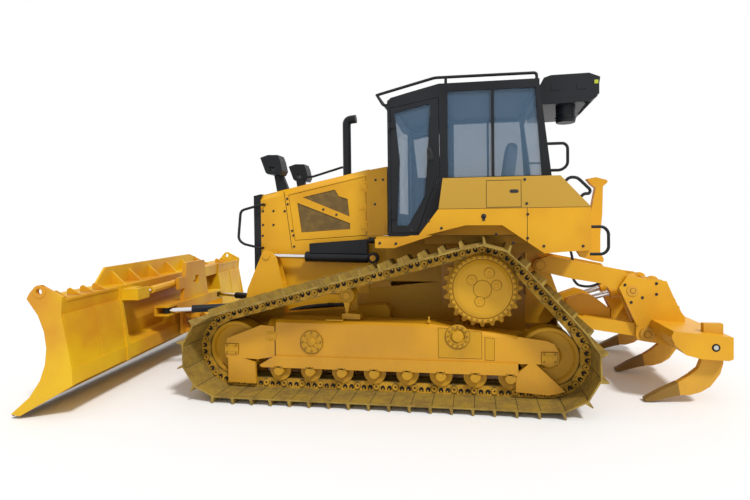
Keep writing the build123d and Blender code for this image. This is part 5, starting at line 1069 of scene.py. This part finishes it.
class BULLDOZER_OT_stage(bpy.types.Operator):
    """Lay the floor and set the lamps and the camera"""
    bl_idname = "bulldozer.stage"
    bl_label = "Set the stage"

    def execute(self, context):
        scene, stage = context.scene, context.scene.bulldozer_stage
        half = stage.floor_size / 2
        mesh = bpy.data.meshes.new("studio_floor")
        mesh.from_pydata([(x, y, 0) for x, y in ((-half, -half), (half, -half), (half, half), (-half, half))],
                         [], [(0, 1, 2, 3)])
        floor = bpy.data.objects.new("studio_floor", mesh)
        scene.collection.objects.link(floor)
        paint = Paint("studio_floor", Base_Color=rgba(stage.floor), Roughness=0.9)
        mesh.materials.append(paint.material)

        world = bpy.data.worlds.new("studio_sky")
        world.use_nodes = True
        scene.world = world
        sky = Graph(world.node_tree)
        seen = sky.node("ShaderNodeLightPath", out="Is Camera Ray")
        for ray in ("Is Glossy Ray", "Is Transmission Ray"):
            other = sky.node("ShaderNodeLightPath", out=ray)
            seen = sky.node("ShaderNodeMath", {"operation": "MAXIMUM"}, {0: seen, 1: other})
        strength = sky.node("ShaderNodeMapRange", {}, {"Value": seen, "To Min": stage.sky})
        backdrop = world.node_tree.nodes["Background"]
        backdrop.inputs["Color"].default_value = (1, 1, 1, 1)
        world.node_tree.links.new(strength.socket, backdrop.inputs["Strength"])

        lamp = bpy.data.lights.new("key_sun", "SUN")
        lamp.energy, lamp.angle = stage.sun, math.radians(9)
        key = bpy.data.objects.new("key_sun", lamp)
        sunlight = Vector((0.5, -0.5, -0.85))
        key.rotation_euler = sunlight.to_track_quat("-Z", "Y").to_euler()
        scene.collection.objects.link(key)

        scene.camera = self.photo_camera(scene)
        scene.view_settings.view_transform = "Standard"
        return {"FINISHED"}

    @staticmethod
    def photo_camera(scene):
        """The photograph's own camera, found from the machine's known points."""
        yaw, pitch, roll = 0.149220498, -0.0151464675, -0.0108612379
        ahead = Vector((math.sin(yaw) * math.cos(pitch), -math.cos(yaw) * math.cos(pitch), math.sin(pitch)))
        side = ahead.cross(Vector((0, 0, 1))).normalized()
        up = side.cross(ahead)
        right = math.cos(roll) * side + math.sin(roll) * up
        up = math.cos(roll) * up - math.sin(roll) * side
        lens = bpy.data.cameras.new("photo_camera")
        width, height, sensor = 750, 500, 36.0
        focal, centre_x, centre_y = 475.03, 401.77, 232.02
        lens.sensor_width, lens.lens = sensor, focal / width * sensor
        lens.shift_x, lens.shift_y = (width / 2 - centre_x) / width, (centre_y - height / 2) / width
        camera = bpy.data.objects.new("photo_camera", lens)
        turn = Matrix((right, up, -ahead)).transposed().to_4x4()
        place = (-1.1012, 5.7406, 1.7083)
        camera.matrix_world = Matrix.Translation(place) @ turn
        scene.collection.objects.link(camera)
        return camera


class BULLDOZER_PT_panel(bpy.types.Panel):
    """Sizes, colours and steps of the dressing"""
    bl_idname = "BULLDOZER_PT_panel"
    bl_label = "Bulldozer"
    bl_space_type = "VIEW_3D"
    bl_region_type = "UI"
    bl_category = "Bulldozer"

    def draw(self, context):
        for group in SETTINGS:
            settings = getattr(context.scene, group)
            for name in settings.__annotations__:
                self.layout.prop(settings, name)
        for step in STEPS:
            self.layout.operator(step.bl_idname)


SETTINGS = {"bulldozer_finish": FinishSettings, "bulldozer_chain": ChainSettings, "bulldozer_stage": StageSettings}
STEPS = (
    BULLDOZER_OT_finishes, BULLDOZER_OT_chains, BULLDOZER_OT_running_gear, BULLDOZER_OT_frame_details,
    BULLDOZER_OT_rams, BULLDOZER_OT_rails, BULLDOZER_OT_panels, BULLDOZER_OT_fasteners, BULLDOZER_OT_cab,
    BULLDOZER_OT_rear, BULLDOZER_OT_ripper, BULLDOZER_OT_blade, BULLDOZER_OT_stage,
)
CLASSES = (*SETTINGS.values(), *STEPS, BULLDOZER_PT_panel)


def register():
    """Adds the classes and their settings."""
    for kind in CLASSES:
        bpy.utils.register_class(kind)
    for name, kind in SETTINGS.items():
        setattr(bpy.types.Scene, name, bpy.props.PointerProperty(type=kind))


def unregister():
    """Takes the settings and classes away."""
    for name in SETTINGS:
        delattr(bpy.types.Scene, name)
    for kind in reversed(CLASSES):
        bpy.utils.unregister_class(kind)


def main():
    """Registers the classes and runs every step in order."""
    register()
    for step in STEPS:
        group, name = step.bl_idname.split(".")
        getattr(getattr(bpy.ops, group), name)()


if __name__ == "__main__":
    main()
